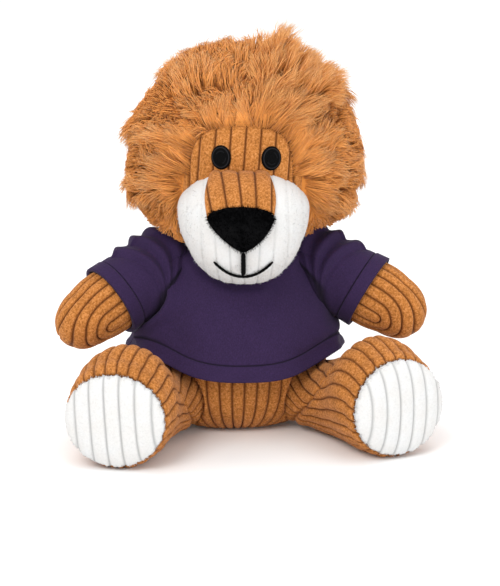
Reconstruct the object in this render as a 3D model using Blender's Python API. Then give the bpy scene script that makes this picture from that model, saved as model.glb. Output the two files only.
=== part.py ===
"""A seated plush lion: stuffed corduroy body, head and limbs, a thick mane, and a T-shirt.

Lengths are in metres, +Z is up, and the toy sits on the plane z = 0 facing -Y. Left and right
are the toy's own, so its left side is at +X. Each stuffed form is a smooth closed surface. Limbs,
neck and tail end in a ball that turns in a socket of the piece that carries it.
"""

import math

import bmesh
import bpy
import numpy as np
from mathutils import Matrix, Vector

# Clearances
GAP = 0.0003
SWING_CLEARANCE = 0.0005
FLOOR_PRESS = 0.0005
CUT_OVERRUN = 0.02
WELD_DISTANCE = 0.000002

# Torso, a stuffed pouch with a flat seat
TORSO_HEIGHT = 0.086
TORSO_HALF_WIDTH = 0.040
TORSO_HALF_DEPTH = 0.033
TORSO_POWER = 2.3
TORSO_SEAT_POWER = 3.4
TORSO_TOP_POWER = 3.0
TORSO_TAPER_SHARES = ((0.0, 1.0), (0.3, 1.0), (0.6, 0.93), (1.0, 0.86))
MOUTH_SEARCH_SHARES = (0.6, 0.995)

# Neck, the ball between torso and head
NECK_RADIUS = 0.0150
NECK_SINK = 0.0005
NECK_HEIGHT = TORSO_HEIGHT - NECK_SINK
HEAD_TURN_ANGLE = math.radians(-8)
NOD_ANGLE = math.radians(6)

# Head, in its own frame: origin at the neck ball, facing -Y
HEAD_HALF_WIDTH = 0.036
HEAD_HALF_DEPTH = 0.036
HEAD_HALF_HEIGHT = 0.042
HEAD_POWER = 2.15
HEAD_ASIDE = 0.0035
HEAD_FORWARD = 0.0060
HEAD_RISE = 0.0305

# Muzzle, cheeks and chin in one form, about its own middle
MUZZLE_DROP = 0.0140
MUZZLE_FORWARD = 0.0220
MUZZLE_HALF_WIDTH = 0.0290
MUZZLE_DEPTH = 0.0330
MUZZLE_RISE = 0.0180
MUZZLE_CHIN = 0.0325
MUZZLE_POWER = 2.4
THROAT_RADIUS = 0.0400
SHOULDER_MARGIN = 0.0012

# Bridge of the nose, a panel on top of the muzzle
BRIDGE_HALF_WIDTH = 0.0140
BRIDGE_TOP = 0.0160
BRIDGE_THICKNESS = 0.0016
BRIDGE_MARGIN = 0.0008
BRIDGE_WIDTH_SHARES = ((0.0, 1.0), (0.4, 1.03), (1.0, 0.88))

# Nose pad
NOSE_HALF_WIDTH = 0.0138
NOSE_RISE = 0.0056
NOSE_DROP = 0.0134
NOSE_HEIGHT = 0.0010
NOSE_THICKNESS = 0.0045
NOSE_EDGE = 0.0016
NOSE_TOP_POWER = 2.1
NOSE_TIP_POWER = 1.5

# Eyes, embroidered ovals on the forehead
EYE_HALF_WIDTH = 0.0041
EYE_HALF_HEIGHT = 0.0050
EYE_SPACING = 0.0104
EYE_HEIGHT = 0.0092
EYE_THICKNESS = 0.0012
EYE_EDGE = 0.0006

# Pads on the face: where their rings lie, and how far apart a surface's slope is read
PAD_ROW_SHARES = (0.0, 0.45, 0.8, 1.0)
STEP_SHARE = 0.1

# Stitched mouth
PHILTRUM_RADIUS = 0.0010
PHILTRUM_LENGTH = 0.0108
SMILE_RADIUS = 0.0006
SMILE_HALF_WIDTH = 0.0120
SMILE_SAG = 0.0068

# Mane, a hood of long pile round the head
MANE_RADIUS = 0.0515
MANE_FRONT = 0.0320
MANE_BACK = 0.0460
MANE_POWER = 2.4
MANE_LOCK_SHARES = ((11, 0.6), (17, 0.4))
MANE_LOCK_DEPTH = 0.0060
MANE_LOCK_TWIST = 2.0
MANE_LIFT = 0.0035
MANE_HEM_RADIUS = 0.0600
MANE_HEM_LIFT = 0.0025

# Limbs: the share of a limb's surface that its ball takes, and that its tip takes
BALL_SHARE = 0.25

# Arms
SHOULDER_ASIDE = 0.0330
SHOULDER_FORWARD = 0.0040
SHOULDER_DROP = 0.0125
SHOULDER_HEIGHT = TORSO_HEIGHT - SHOULDER_DROP
ARM_BALL = 0.0130
ARM_LENGTH = 0.0600
ARM_HALF_WIDTH = 0.0145
ARM_HALF_THICKNESS = 0.0125
ARM_TIP = 0.0180
ARM_TIP_POWER = 2.2
ARM_DROP_ANGLE = math.radians(29)
ARM_FORWARD_ANGLE = math.radians(25)
ARM_RAISE_ANGLE = math.radians(30)
ARM_LOWER_ANGLE = math.radians(8)
ARM_WIDTH_SHARES = ((0.0, 0.897), (0.35, 0.94), (0.6, 0.94), (0.85, 0.90), (1.0, 0.80))
ARM_THICKNESS_SHARES = ((0.0, 1.04), (0.35, 1.0), (0.6, 0.98), (0.85, 1.0), (1.0, 0.98))

# Legs and foot pads
HIP_ASIDE = 0.0270
HIP_FORWARD = 0.0140
HIP_HEIGHT = 0.0165
LEG_BALL = 0.0145
LEG_LENGTH = 0.0655
FOOT_HALF_WIDTH = 0.0225
FOOT_HALF_HEIGHT = 0.0244
FOOT_TIP = 0.0090
FOOT_TIP_POWER = 3.6
LEG_ANGLE = math.radians(30.5)
TOE_ANGLE = math.radians(11.5)
LEG_SPREAD_ANGLE = math.radians(20)
LEG_CLOSE_ANGLE = math.radians(12)
FOOT_WIDTH_SHARES = (
    (0.0, 0.644), (0.22, 0.66), (0.42, 0.73), (0.62, 0.85), (0.8, 0.97), (0.92, 1.0), (1.0, 0.98)
)
FOOT_HEIGHT_SHARES = (
    (0.0, 0.595), (0.22, 0.61), (0.42, 0.70), (0.62, 0.84), (0.8, 0.99), (0.9, 1.0), (1.0, 0.92)
)
LEG_CLIMB_SHARES = ((0.0, 0.0), (0.3, 0.06), (0.5, 0.5), (0.7, 1.0), (0.87, 0.85), (1.0, 0.6))
SOLE_THICKNESS = 0.0014
SOLE_CROWN = 0.0010
SOLE_STEP = 0.0004
TIP_SHARE = 0.0005

# Tail
TAIL_SETBACK = 0.0290
TAIL_HEIGHT = 0.0110
TAIL_BALL = 0.0055
TAIL_RADIUS = 0.0045
TAIL_LENGTH = 0.0560
TAIL_ROOT_POWER = 4.0
TAIL_FALL_SHARES = ((0, 0), (0.45, 1), (1, 1))
TAIL_BEND_ANGLE = math.radians(55)
TAIL_SWING_ANGLE = math.radians(25)
TUFT_LENGTH = 0.0260
TUFT_RADIUS = 0.0100
TUFT_OVERLAP = 0.0050
TUFT_POWER = 2.2
TUFT_TAPER_SHARE = 0.25
TUFT_REST_SHARE = 0.86

# T-shirt
CLOTH = 0.0013
SHIRT_EASE = 0.0008
SHIRT_FLARE = 0.0050
SHIRT_FOLD_DEPTH = 0.0014
SHIRT_FOLDS = 9
SHIRT_SEAM_GAP = 0.0006
SHIRT_ROW_SHARES = (0.0, 0.14, 0.3, 0.46, 0.62, 0.76, 0.86, 0.91, 1.0)
HEM_PLACE_SHARES = (-1.0, 0.0, 0.65, 1.0)
HEM_FRONT_HEIGHT = 0.0290
HEM_THIGH_HEIGHT = 0.0370
HEM_SIDE_HEIGHT = 0.0350
HEM_BACK_HEIGHT = 0.0330
HEM_BAND = 0.0065
HEM_STEP = 0.0005
SLEEVE_TUCK = 0.0060
SLEEVE_END = 0.0320
SLEEVE_EASE_SHARES = ((0.0, 1.0), (0.35, 0.80), (0.75, 0.50), (1.0, 0.42))
SLEEVE_EASE = 0.0022
SLEEVE_ROW_SHARES = (0.0, 0.2, 0.45, 0.75, 1.0)
NECKBAND_INNER = 0.0156
NECKBAND_THICKNESS = 0.0015
NECKBAND_HEIGHT = 0.0050
NECKBAND_SEAT = 0.0040

# Mesh density
AROUND = 26
ROWS = 15
LIMB_AROUND = 18
LIMB_ROWS = 13
SWEPT_ROWS = 7
SOLE_ROWS = 3
MANE_AROUND = 44
MANE_ROWS = 11
TAIL_AROUND = 12
TUFT_ROWS = 9
SHIRT_COLUMNS = 22
COLLAR_ROWS = 3
PAD_AROUND = 18
BRIDGE_COLUMNS = 13
BRIDGE_ROWS = 7
HEAD_AROUND = 24
HEAD_ROWS = 13
SWEEP_STEPS = 4
MOUTH_STEPS = 400
MOUTH_POINTS = 15
PHILTRUM_POINTS = 7
TABLE_REACH_SHARE = 10
TAIL_SWEPT_SHARE = 0.375
SLOPE_SHARE = 0.002

SIDES = {"right": -1.0, "left": 1.0}

BROWN = (0.560, 0.210, 0.060)
TAN = (0.620, 0.255, 0.080)
WHITE = (0.86, 0.86, 0.85)
BLACK = (0.006, 0.006, 0.007)
PURPLE = (0.046, 0.024, 0.080)


def clear_scene():
    for old in list(bpy.data.objects):
        bpy.data.objects.remove(old, do_unlink=True)


def finish(name, colour, roughness):
    """A plain material of one colour."""
    made = bpy.data.materials.new(name)
    made.use_nodes = True
    shader = made.node_tree.nodes["Principled BSDF"]
    shader.inputs["Base Color"].default_value = (*colour, 1.0)
    shader.inputs["Roughness"].default_value = roughness
    shader.inputs["Metallic"].default_value = 0.0
    return made


def signed_power(value, power):
    """The value raised to 2 / power with its sign kept, which squares off a sine or cosine."""
    return np.sign(value) * np.abs(value) ** (2.0 / power)


def along(shares, place):
    """Values read between the pairs (place, share) of a table, on cubics with smooth slopes."""
    at, value = np.array(shares, float).T
    slope = np.gradient(value, at)
    place = np.clip(place, at[0], at[-1])
    i = np.clip(np.searchsorted(at, place) - 1, 0, len(at) - 2)
    span = at[i + 1] - at[i]
    s = (place - at[i]) / span
    start = (1 + 2 * s) * (1 - s) ** 2 * value[i] + s * (1 - s) ** 2 * span * slope[i]
    end = s * s * (3 - 2 * s) * value[i + 1] + s * s * (s - 1) * span * slope[i + 1]
    return start + end


def stacked(x, y, z):
    return np.stack(np.broadcast_arrays(x, y, z), -1)


def raised(skin, first, second, height, step=SLOPE_SHARE):
    """Points that stand off a surface: its point plus height times its unit normal."""
    across = skin(first + step, second) - skin(first - step, second)
    up = skin(first, second + step) - skin(first, second - step)
    normal = np.cross(across, up)
    normal /= np.linalg.norm(normal, axis=-1, keepdims=True)
    return skin(first, second) + normal * np.broadcast_to(height, normal.shape[:-1])[..., None]


def quads(rows, columns, wrapped, start=0):
    """Faces of a grid of points that are numbered row by row."""
    row = np.arange(rows - 1)[:, None]
    column = np.arange(columns if wrapped else columns - 1)[None, :]
    beside = (column + 1) % columns
    corners = (row * columns + column, row * columns + beside)
    upper = ((row + 1) * columns + beside, (row + 1) * columns + column)
    return np.stack(np.broadcast_arrays(*corners, *upper), -1).reshape(-1, 4) + start


def solid(name, points, faces, material, parent=None, place=(0, 0, 0)):
    """A closed mesh object with merged points and faces turned outwards."""
    mesh = bpy.data.meshes.new(name)
    mesh.from_pydata(points.reshape(-1, 3).tolist(), [], faces.tolist())
    shaped = bmesh.new()
    shaped.from_mesh(mesh)
    bmesh.ops.remove_doubles(shaped, verts=shaped.verts, dist=WELD_DISTANCE)
    bmesh.ops.dissolve_degenerate(shaped, dist=WELD_DISTANCE, edges=shaped.edges)
    bmesh.ops.recalc_face_normals(shaped, faces=shaped.faces)
    shaped.to_mesh(mesh)
    shaped.free()
    mesh.shade_smooth()
    made = bpy.data.objects.new(name, mesh)
    bpy.context.scene.collection.objects.link(made)
    made.parent = parent
    made.location = place
    if material:
        mesh.materials.append(material)
    return made


def pouch(name, rings, material=None, parent=None, place=(0, 0, 0)):
    """A closed form through rings of points, whose first and last ring each shrink to a point."""
    rings = np.array(rings)
    rings[0] = rings[0].mean(0)
    rings[-1] = rings[-1].mean(0)
    faces = quads(rings.shape[0], rings.shape[1], True)
    return solid(name, rings, faces, material, parent, place)


def shell(name, outer, inner, wrapped, material, parent=None, place=(0, 0, 0), pole=False):
    """Cloth between two grids of points, closed along each free edge.

    A wrapped grid closes on itself sideways. With a pole, the first row is one point.
    """
    outer, inner = np.array(outer), np.array(inner)
    if pole:
        outer[0] = outer[0].mean(0)
        inner[0] = inner[0].mean(0)
    rows, columns = outer.shape[:2]
    count = rows * columns
    faces = [quads(rows, columns, wrapped), quads(rows, columns, wrapped, count)[:, ::-1]]
    number = np.arange(count).reshape(rows, columns)
    edges = [number[-1]] if pole else [number[0], number[-1]]
    for edge in edges:
        ends = np.append(edge, edge[0]) if wrapped else edge
        faces.append(np.stack([ends[:-1], ends[1:], ends[1:] + count, ends[:-1] + count], 1))
    if not wrapped:
        for edge in (number[:, 0], number[:, -1]):
            faces.append(np.stack([edge[:-1], edge[1:], edge[1:] + count, edge[:-1] + count], 1))
    points = np.concatenate([outer.reshape(-1, 3), inner.reshape(-1, 3)])
    return solid(name, points, np.concatenate(faces), material, parent, place)


def as_cutter(made):
    made.hide_render = True
    made.display_type = "WIRE"
    return made


def cut(made, *cutters):
    """Takes each cutter's space out of a piece."""
    for cutter in cutters:
        modifier = made.modifiers.new("cut_by_" + cutter.name, "BOOLEAN")
        modifier.operation = "DIFFERENCE"
        modifier.object = cutter


def frame_at(name, place, turn=0.0):
    """An empty that carries pieces which share an origin."""
    made = bpy.data.objects.new(name, None)
    made.location = place
    made.rotation_euler = (0, 0, turn)
    bpy.context.scene.collection.objects.link(made)
    return made


def grid(first, second):
    """Two parameter arrays, the first changing along columns and the second along rows."""
    return np.meshgrid(first, second)


def round_steps(count):
    return np.linspace(0, 1, count, endpoint=False)


def puff(u, v, half_x, half_y, front_y, up, down, power, flat_power=None):
    """A squared-off ellipsoid with unlike depths and heights.

    u runs once round the upright axis and v from the lowest point to the highest.
    """
    around, tilt = 2 * math.pi * u, math.pi * (v - 0.5)
    rim = signed_power(np.cos(tilt), flat_power or power)
    sideways = signed_power(np.cos(around), power)
    forward = signed_power(np.sin(around), power)
    rise = signed_power(np.sin(tilt), flat_power or power)
    y = np.where(forward < 0, front_y, half_y) * forward * rim
    return stacked(half_x * sideways * rim, y, np.where(rise < 0, down, up) * rise)


def ball(name, radius, parent=None, place=(0, 0, 0), material=None):
    u, v = grid(round_steps(PAD_AROUND), np.linspace(0, 1, HEAD_ROWS))
    return pouch(name, puff(u, v, radius, radius, radius, radius, radius, 2.0), material, parent, place)


# Torso


def torso_skin(u, v, grow=0.0):
    """A squared-off oval in plan. Its sides follow a taper, and its seat is flatter than its top."""
    around, tilt = 2 * math.pi * u, math.pi * (v - 0.5)
    end_power = np.where(tilt < 0, TORSO_SEAT_POWER, TORSO_TOP_POWER)
    rise = signed_power(np.sin(tilt), end_power)
    half = (TORSO_HEIGHT + FLOOR_PRESS) / 2
    rim = signed_power(np.cos(tilt), end_power) * along(TORSO_TAPER_SHARES, (rise + 1) / 2)
    x = (TORSO_HALF_WIDTH + grow) * signed_power(np.cos(around), TORSO_POWER)
    y = (TORSO_HALF_DEPTH + grow) * signed_power(np.sin(around), TORSO_POWER)
    return stacked(x * rim, y * rim, half * (1 + rise) - FLOOR_PRESS)


def torso_level(height):
    """The v at which the torso's surface reaches a height."""
    half = (TORSO_HEIGHT + FLOOR_PRESS) / 2
    rise = (height + FLOOR_PRESS) / half - 1
    power = np.where(rise < 0, TORSO_SEAT_POWER, TORSO_TOP_POWER)
    sine = np.sign(rise) * np.abs(rise) ** (power / 2)
    return np.arcsin(sine) / math.pi + 0.5


def torso_mouth_level(half_depth):
    """The v near the top at which the torso's oval has this half depth."""
    levels = np.linspace(*MOUTH_SEARCH_SHARES, MOUTH_STEPS)
    depth = np.abs(torso_skin(np.full_like(levels, 0.75), levels)[:, 1])
    return float(np.interp(-half_depth, -depth, levels))


def torso_form(name, grow=0.0, material=None):
    u, v = grid(round_steps(AROUND), np.linspace(0, 1, ROWS))
    return pouch(name, torso_skin(u, v, grow), material)


# Limbs


def limb_profile(v, ball_radius, length, tip, tip_power):
    """Distance along a limb and the share of its section, for v from the ball to the tip.

    The first share of v runs round the ball's far side, the middle along the limb, and the
    last, as long as the first, round its blunt tip.
    """
    first = np.clip(v / BALL_SHARE, 0, 1) * math.pi / 2
    middle = np.clip((v - BALL_SHARE) / (1 - 2 * BALL_SHARE), 0, 1)
    last = np.clip((v - 1 + BALL_SHARE) / BALL_SHARE, 0, 1) * math.pi / 2
    place = -ball_radius * np.cos(first) + (length - tip) * middle
    place = place + tip * signed_power(np.sin(last), tip_power)
    share = np.sin(first) * signed_power(np.cos(last), tip_power)
    return place, middle, share


def arm_skin(side):
    """A straight arm: an oval section across a line that points out, down and forward."""
    level = Vector((side * math.cos(ARM_FORWARD_ANGLE), -math.sin(ARM_FORWARD_ANGLE), 0))
    ahead = level * math.cos(ARM_DROP_ANGLE) - Vector((0, 0, math.sin(ARM_DROP_ANGLE)))
    thick = Vector((side * math.sin(ARM_FORWARD_ANGLE), math.cos(ARM_FORWARD_ANGLE), 0))
    wide = ahead.cross(thick).normalized()
    wide = wide if wide.z > 0 else -wide

    def skin(u, v):
        around = -2 * math.pi * u * side
        place, middle, share = limb_profile(v, ARM_BALL, ARM_LENGTH, ARM_TIP, ARM_TIP_POWER)
        half_wide = ARM_HALF_WIDTH * along(ARM_WIDTH_SHARES, middle) * share
        half_thick = ARM_HALF_THICKNESS * along(ARM_THICKNESS_SHARES, middle) * share
        points = place[..., None] * np.array(ahead)
        points = points + (half_wide * np.sin(around))[..., None] * np.array(wide)
        return points - (half_thick * np.cos(around))[..., None] * np.array(thick)

    return skin


def leg_skin(side):
    """A leg whose middle line leaves the hip and turns forward towards the foot."""
    heading = side * LEG_ANGLE
    ahead = np.array((math.sin(heading), -math.cos(heading), 0))
    aside = np.array((math.cos(heading), math.sin(heading), 0))

    def skin(u, v):
        around = 2 * math.pi * u
        place, middle, share = limb_profile(v, LEG_BALL, LEG_LENGTH, FOOT_TIP, FOOT_TIP_POWER)
        run = np.clip(place / LEG_LENGTH, 0, None)
        turn = heading + side * TOE_ANGLE * (1 - 2 * run)
        bow = side * TOE_ANGLE * run * (1 - run) * LEG_LENGTH
        climb = (FOOT_HALF_HEIGHT - FLOOR_PRESS - HIP_HEIGHT) * along(LEG_CLIMB_SHARES, run)
        half_wide = FOOT_HALF_WIDTH * along(FOOT_WIDTH_SHARES, middle) * share
        half_tall = FOOT_HALF_HEIGHT * along(FOOT_HEIGHT_SHARES, middle) * share
        points = place[..., None] * ahead + bow[..., None] * aside
        points = points + (half_wide * np.cos(around))[..., None] * stacked(np.cos(turn), np.sin(turn), 0)
        return points + stacked(0, 0, climb + half_tall * np.sin(around))

    return skin


def limb_level(place, ball_radius, length, tip):
    """The v at which a limb's middle line reaches a distance from its hinge."""
    inside = BALL_SHARE * np.arccos(np.clip(-place / ball_radius, 0, 1)) / (math.pi / 2)
    outside = BALL_SHARE + (1 - 2 * BALL_SHARE) * place / (length - tip)
    return np.where(place < 0, inside, outside)


def limb_form(name, skin, material, place):
    u, v = grid(round_steps(LIMB_AROUND), np.linspace(0, 1, LIMB_ROWS))
    return pouch(name, skin(u, v), material, place=place)


def swept_cutter(name, pivot, axis, points, start, end):
    """The hull round a limb's inner end through its whole travel about a hinge."""
    hull = bmesh.new()
    for angle in np.linspace(start, end, SWEEP_STEPS):
        turned = points @ np.array(Matrix.Rotation(angle, 3, axis)).T + np.array(pivot)
        for point in turned.tolist():
            hull.verts.new(point)
    made = bmesh.ops.convex_hull(hull, input=hull.verts)
    spare = {part for part in made["geom_interior"] if isinstance(part, bmesh.types.BMVert)}
    bmesh.ops.delete(hull, geom=list(spare), context="VERTS")
    bmesh.ops.recalc_face_normals(hull, faces=hull.faces)
    mesh = bpy.data.meshes.new(name)
    hull.to_mesh(mesh)
    hull.free()
    cutter = bpy.data.objects.new(name, mesh)
    bpy.context.scene.collection.objects.link(cutter)
    return as_cutter(cutter)


def sleeve_surfaces(side, u, v):
    """Outer and inner points of a sleeve, which stands off the arm most at the armhole."""
    skin = arm_skin(side)
    place = limb_profile(v, ARM_BALL, ARM_LENGTH, ARM_TIP, ARM_TIP_POWER)[0]
    run = (place + SLEEVE_TUCK) / (SLEEVE_END + SLEEVE_TUCK)
    ease = GAP + SLEEVE_EASE * along(SLEEVE_EASE_SHARES, run)
    step = HEM_STEP * (place > SLEEVE_END - HEM_BAND)
    return raised(skin, u, v, ease + CLOTH + step), raised(skin, u, v, ease)


def sleeve_levels():
    """The v of each ring of a sleeve, with two close rings at the cuff's stitch line."""
    stitch_line = SLEEVE_END - HEM_BAND
    upper = (stitch_line + SLEEVE_TUCK) * np.array(SLEEVE_ROW_SHARES) - SLEEVE_TUCK
    places = np.append(upper, (stitch_line + HEM_STEP, SLEEVE_END))
    return limb_level(places, ARM_BALL, ARM_LENGTH, ARM_TIP)


def build_arm(name, side, brown, purple):
    pivot = (side * SHOULDER_ASIDE, -SHOULDER_FORWARD, SHOULDER_HEIGHT)
    skin = arm_skin(side)
    limb_form("arm_" + name, skin, brown, pivot)
    u, v = grid(round_steps(LIMB_AROUND), sleeve_levels())
    outer, inner = sleeve_surfaces(side, u, v)
    shell("sleeve_" + name, outer, inner, True, purple, place=pivot)
    u, v = grid(round_steps(LIMB_AROUND), np.linspace(0, 1, LIMB_ROWS)[:SWEPT_ROWS])
    ball_points = skin(u, v) * (1 + SWING_CLEARANCE / ARM_BALL)
    u, v = grid(round_steps(LIMB_AROUND), sleeve_levels())
    cuffs = sleeve_surfaces(side, u, v)[0]
    cuffs = cuffs + SWING_CLEARANCE * cuffs / np.linalg.norm(cuffs, axis=-1, keepdims=True)
    points = np.concatenate([ball_points.reshape(-1, 3), cuffs.reshape(-1, 3)])
    lift = -side * ARM_RAISE_ANGLE
    drop = side * ARM_LOWER_ANGLE
    return swept_cutter("armhole_" + name, pivot, Vector((0, 1, 0)), points, lift, drop)


def build_leg(name, side, brown, white, floor):
    pivot = (side * HIP_ASIDE, -HIP_FORWARD, HIP_HEIGHT)
    skin = leg_skin(side)
    leg = limb_form("leg_" + name, skin, brown, pivot)
    cut(leg, floor)
    levels = np.linspace(1, 0, LIMB_ROWS)[:SOLE_ROWS]
    levels = np.sort(np.append(levels, (levels[1:] + levels[:-1]) / 2))[::-1]
    levels[0] = levels[0] - TIP_SHARE
    u, v = grid(round_steps(LIMB_AROUND), levels)
    crown = SOLE_CROWN * np.sqrt((v - levels[-1]) / (levels[0] - levels[-1]))
    outer = raised(skin, u, v, GAP + SOLE_THICKNESS + crown, SOLE_STEP)
    inner = raised(skin, u, v, GAP, SOLE_STEP)
    sole = shell("sole_" + name, outer, inner, True, white, place=pivot, pole=True)
    cut(sole, floor)
    u, v = grid(round_steps(LIMB_AROUND), np.linspace(0, 1, LIMB_ROWS)[:SWEPT_ROWS])
    points = skin(u, v).reshape(-1, 3)
    grown = points * (1 + SWING_CLEARANCE / LEG_BALL)
    spread = side * LEG_SPREAD_ANGLE
    close = -side * LEG_CLOSE_ANGLE
    return swept_cutter("hip_" + name, pivot, Vector((0, 0, 1)), grown, close, spread)


# Tail


def tail_line(place):
    """The tail's middle line: it drops to the floor and bends towards the toy's left."""
    run = np.clip(place / TAIL_LENGTH, 0, None)
    turn = TAIL_BEND_ANGLE * run
    radius = TAIL_LENGTH / TAIL_BEND_ANGLE
    x = radius * (1 - np.cos(turn))
    y = np.where(place < 0, place, radius * np.sin(turn))
    fall = TAIL_HEIGHT + FLOOR_PRESS - TAIL_RADIUS
    z = -fall * along(TAIL_FALL_SHARES, run)
    return stacked(x, y, z), stacked(np.cos(turn), -np.sin(turn), 0)


def tail_skin(u, v):
    place, middle, share = limb_profile(v, TAIL_BALL, TAIL_LENGTH, TAIL_RADIUS, 2.0)
    radius = (TAIL_RADIUS + (TAIL_BALL - TAIL_RADIUS) * (1 - middle) ** TAIL_ROOT_POWER) * share
    line, across = tail_line(place)
    around = 2 * math.pi * u
    points = line + (radius * np.cos(around))[..., None] * across
    return points + (radius * np.sin(around))[..., None] * np.array((0.0, 0.0, 1.0))


def tuft_skin(u, v):
    """An egg of pile round the tail's end, thickest before its middle."""
    tilt = math.pi * v
    place = TAIL_LENGTH - TUFT_OVERLAP + TUFT_LENGTH * (1 - np.cos(tilt)) / 2
    radius = TUFT_RADIUS * signed_power(np.sin(tilt), TUFT_POWER) * (1 - TUFT_TAPER_SHARE * v)
    line, across = tail_line(place)
    rise = TUFT_RADIUS * TUFT_REST_SHARE - TAIL_RADIUS
    run = np.clip((place - TAIL_LENGTH + TUFT_OVERLAP) / TUFT_OVERLAP, 0, 1)
    around = 2 * math.pi * u
    points = line + (radius * np.cos(around))[..., None] * across + stacked(0, 0, rise * run)
    return points + (radius * np.sin(around))[..., None] * np.array((0.0, 0.0, 1.0))


def build_tail(brown, tan, floor):
    pivot = (0.0, TAIL_SETBACK, TAIL_HEIGHT)
    u, v = grid(round_steps(TAIL_AROUND), np.linspace(0, 1, ROWS))
    tail = pouch("tail", tail_skin(u, v), brown, place=pivot)
    grown = as_cutter(pouch("tail_space", raised_tail(u, v), place=pivot))
    u, v = grid(round_steps(TAIL_AROUND), np.linspace(0, 1, TUFT_ROWS))
    tuft = pouch("tail_tuft", tuft_skin(u, v), tan, place=pivot)
    cut(tail, floor)
    cut(tuft, grown, floor)
    u, v = grid(round_steps(TAIL_AROUND), np.linspace(0, TAIL_SWEPT_SHARE, TUFT_ROWS))
    points = tail_skin(u, v).reshape(-1, 3) * (1 + SWING_CLEARANCE / TAIL_BALL)
    return swept_cutter("tail_root", pivot, Vector((0, 0, 1)), points, -TAIL_SWING_ANGLE, TAIL_SWING_ANGLE)


def raised_tail(u, v):
    """The tail's surface grown by the sewing gap."""
    line = tail_line(limb_profile(v, TAIL_BALL, TAIL_LENGTH, TAIL_RADIUS, 2.0)[0])[0]
    out = tail_skin(u, v) - line
    length = np.maximum(np.linalg.norm(out, axis=-1, keepdims=True), WELD_DISTANCE)
    grown = line + out * (1 + GAP / length) * (length > WELD_DISTANCE)
    grown[-1] = grown[-1] + GAP * np.array((math.sin(TAIL_BEND_ANGLE), math.cos(TAIL_BEND_ANGLE), 0))
    return grown


# T-shirt


def shirt_edges(u):
    """Height of the hem round the body: lowest in front, and lifted where it lies on the thighs."""
    heights = (HEM_BACK_HEIGHT, HEM_SIDE_HEIGHT, HEM_THIGH_HEIGHT, HEM_FRONT_HEIGHT)
    return along(tuple(zip(HEM_PLACE_SHARES, heights)), -np.sin(2 * math.pi * u))


def shirt_surfaces(u, run):
    """Outer and inner points of the shirt's body, from neck (run 0) to hem (run 1)."""
    top = torso_mouth_level(NECKBAND_INNER + NECKBAND_THICKNESS + 2 * GAP)
    hem = torso_level(shirt_edges(u))
    v = top + (hem - top) * run
    folds = 0.5 + 0.5 * np.sin(2 * math.pi * SHIRT_FOLDS * u)
    ease = SHIRT_EASE + SHIRT_FLARE * run**3 + SHIRT_FOLD_DEPTH * folds * run**2
    height = torso_skin(u, v)[..., 2]
    step = HEM_STEP * (height < shirt_edges(u) + HEM_BAND)
    return raised(torso_skin, u, v, ease + CLOTH + step), raised(torso_skin, u, v, ease)


def build_shirt(purple, torso_space, cutters):
    seam_share = SHIRT_SEAM_GAP / (2 * math.pi * TORSO_HALF_WIDTH) / 2
    for name, start in (("shirt_front", 0.5), ("shirt_back", 0.0)):
        places = np.linspace(start + seam_share, start + 0.5 - seam_share, SHIRT_COLUMNS)
        u, row = grid(places, np.array(SHIRT_ROW_SHARES))
        outer, inner = shirt_surfaces(u, row)
        panel = shell(name, outer, inner, False, purple)
        cut(panel, *cutters)
    outer_radius = NECKBAND_INNER + NECKBAND_THICKNESS
    low = NECK_HEIGHT - NECKBAND_SEAT
    high = low + NECKBAND_SEAT + NECKBAND_HEIGHT / 2
    u, level = grid(round_steps(AROUND), np.linspace(low, high, COLLAR_ROWS))
    ring = stacked(np.cos(2 * math.pi * u), np.sin(2 * math.pi * u), 0)
    rise = stacked(0, 0, level)
    band = shell("neckband", ring * outer_radius + rise, ring * NECKBAND_INNER + rise, True, purple)
    cut(band, torso_space)


# Head


def head_point(x, z):
    """The front of the head over a point of its upright plane, about the head's middle."""
    left = 1 - np.abs(x / HEAD_HALF_WIDTH) ** HEAD_POWER - np.abs(z / HEAD_HALF_HEIGHT) ** HEAD_POWER
    return stacked(x, -HEAD_HALF_DEPTH * np.maximum(left, 0) ** (1 / HEAD_POWER), z)


def muzzle_point(x, z):
    """The front of the muzzle over a point of its upright plane, about the muzzle's middle."""
    tall = np.where(z < 0, MUZZLE_CHIN, MUZZLE_RISE)
    left = 1 - np.abs(x / MUZZLE_HALF_WIDTH) ** MUZZLE_POWER - np.abs(z / tall) ** MUZZLE_POWER
    return stacked(x, -MUZZLE_DEPTH * np.maximum(left, 0) ** (1 / MUZZLE_POWER), z)


def head_form(name, grow, material, parent, place):
    u, v = grid(round_steps(HEAD_AROUND), np.linspace(0, 1, HEAD_ROWS))
    width, depth, height = HEAD_HALF_WIDTH + grow, HEAD_HALF_DEPTH + grow, HEAD_HALF_HEIGHT + grow
    points = puff(u, v, width, depth, depth, height, height, HEAD_POWER)
    return pouch(name, points, material, parent, place)


def shoulder_rise():
    """How far the top of the sleeves stands over the neck's middle."""
    reach = ARM_HALF_WIDTH * ARM_WIDTH_SHARES[0][1] + GAP + SLEEVE_EASE + CLOTH
    return SHOULDER_HEIGHT + reach - NECK_HEIGHT


def throat(name, parent, radius, edge_lift):
    """The space under the head for the collar, the shoulders and a nod: a turned shape."""
    collar = NECKBAND_INNER + NECKBAND_THICKNESS
    rise = max(shoulder_rise() + SHOULDER_MARGIN, NECKBAND_HEIGHT / 2 + collar * math.tan(NOD_ANGLE) + GAP)
    edge = (radius, rise + edge_lift)
    profile = ((0, -CUT_OVERRUN), (radius, -CUT_OVERRUN), edge, (collar, rise), (0, rise))
    u, row = grid(round_steps(AROUND), np.arange(len(profile)))
    radii, heights = np.array(profile).T
    around = 2 * math.pi * u
    points = stacked(radii[row] * np.cos(around), radii[row] * np.sin(around), heights[row])
    return as_cutter(pouch(name, points, parent=parent))


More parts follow.
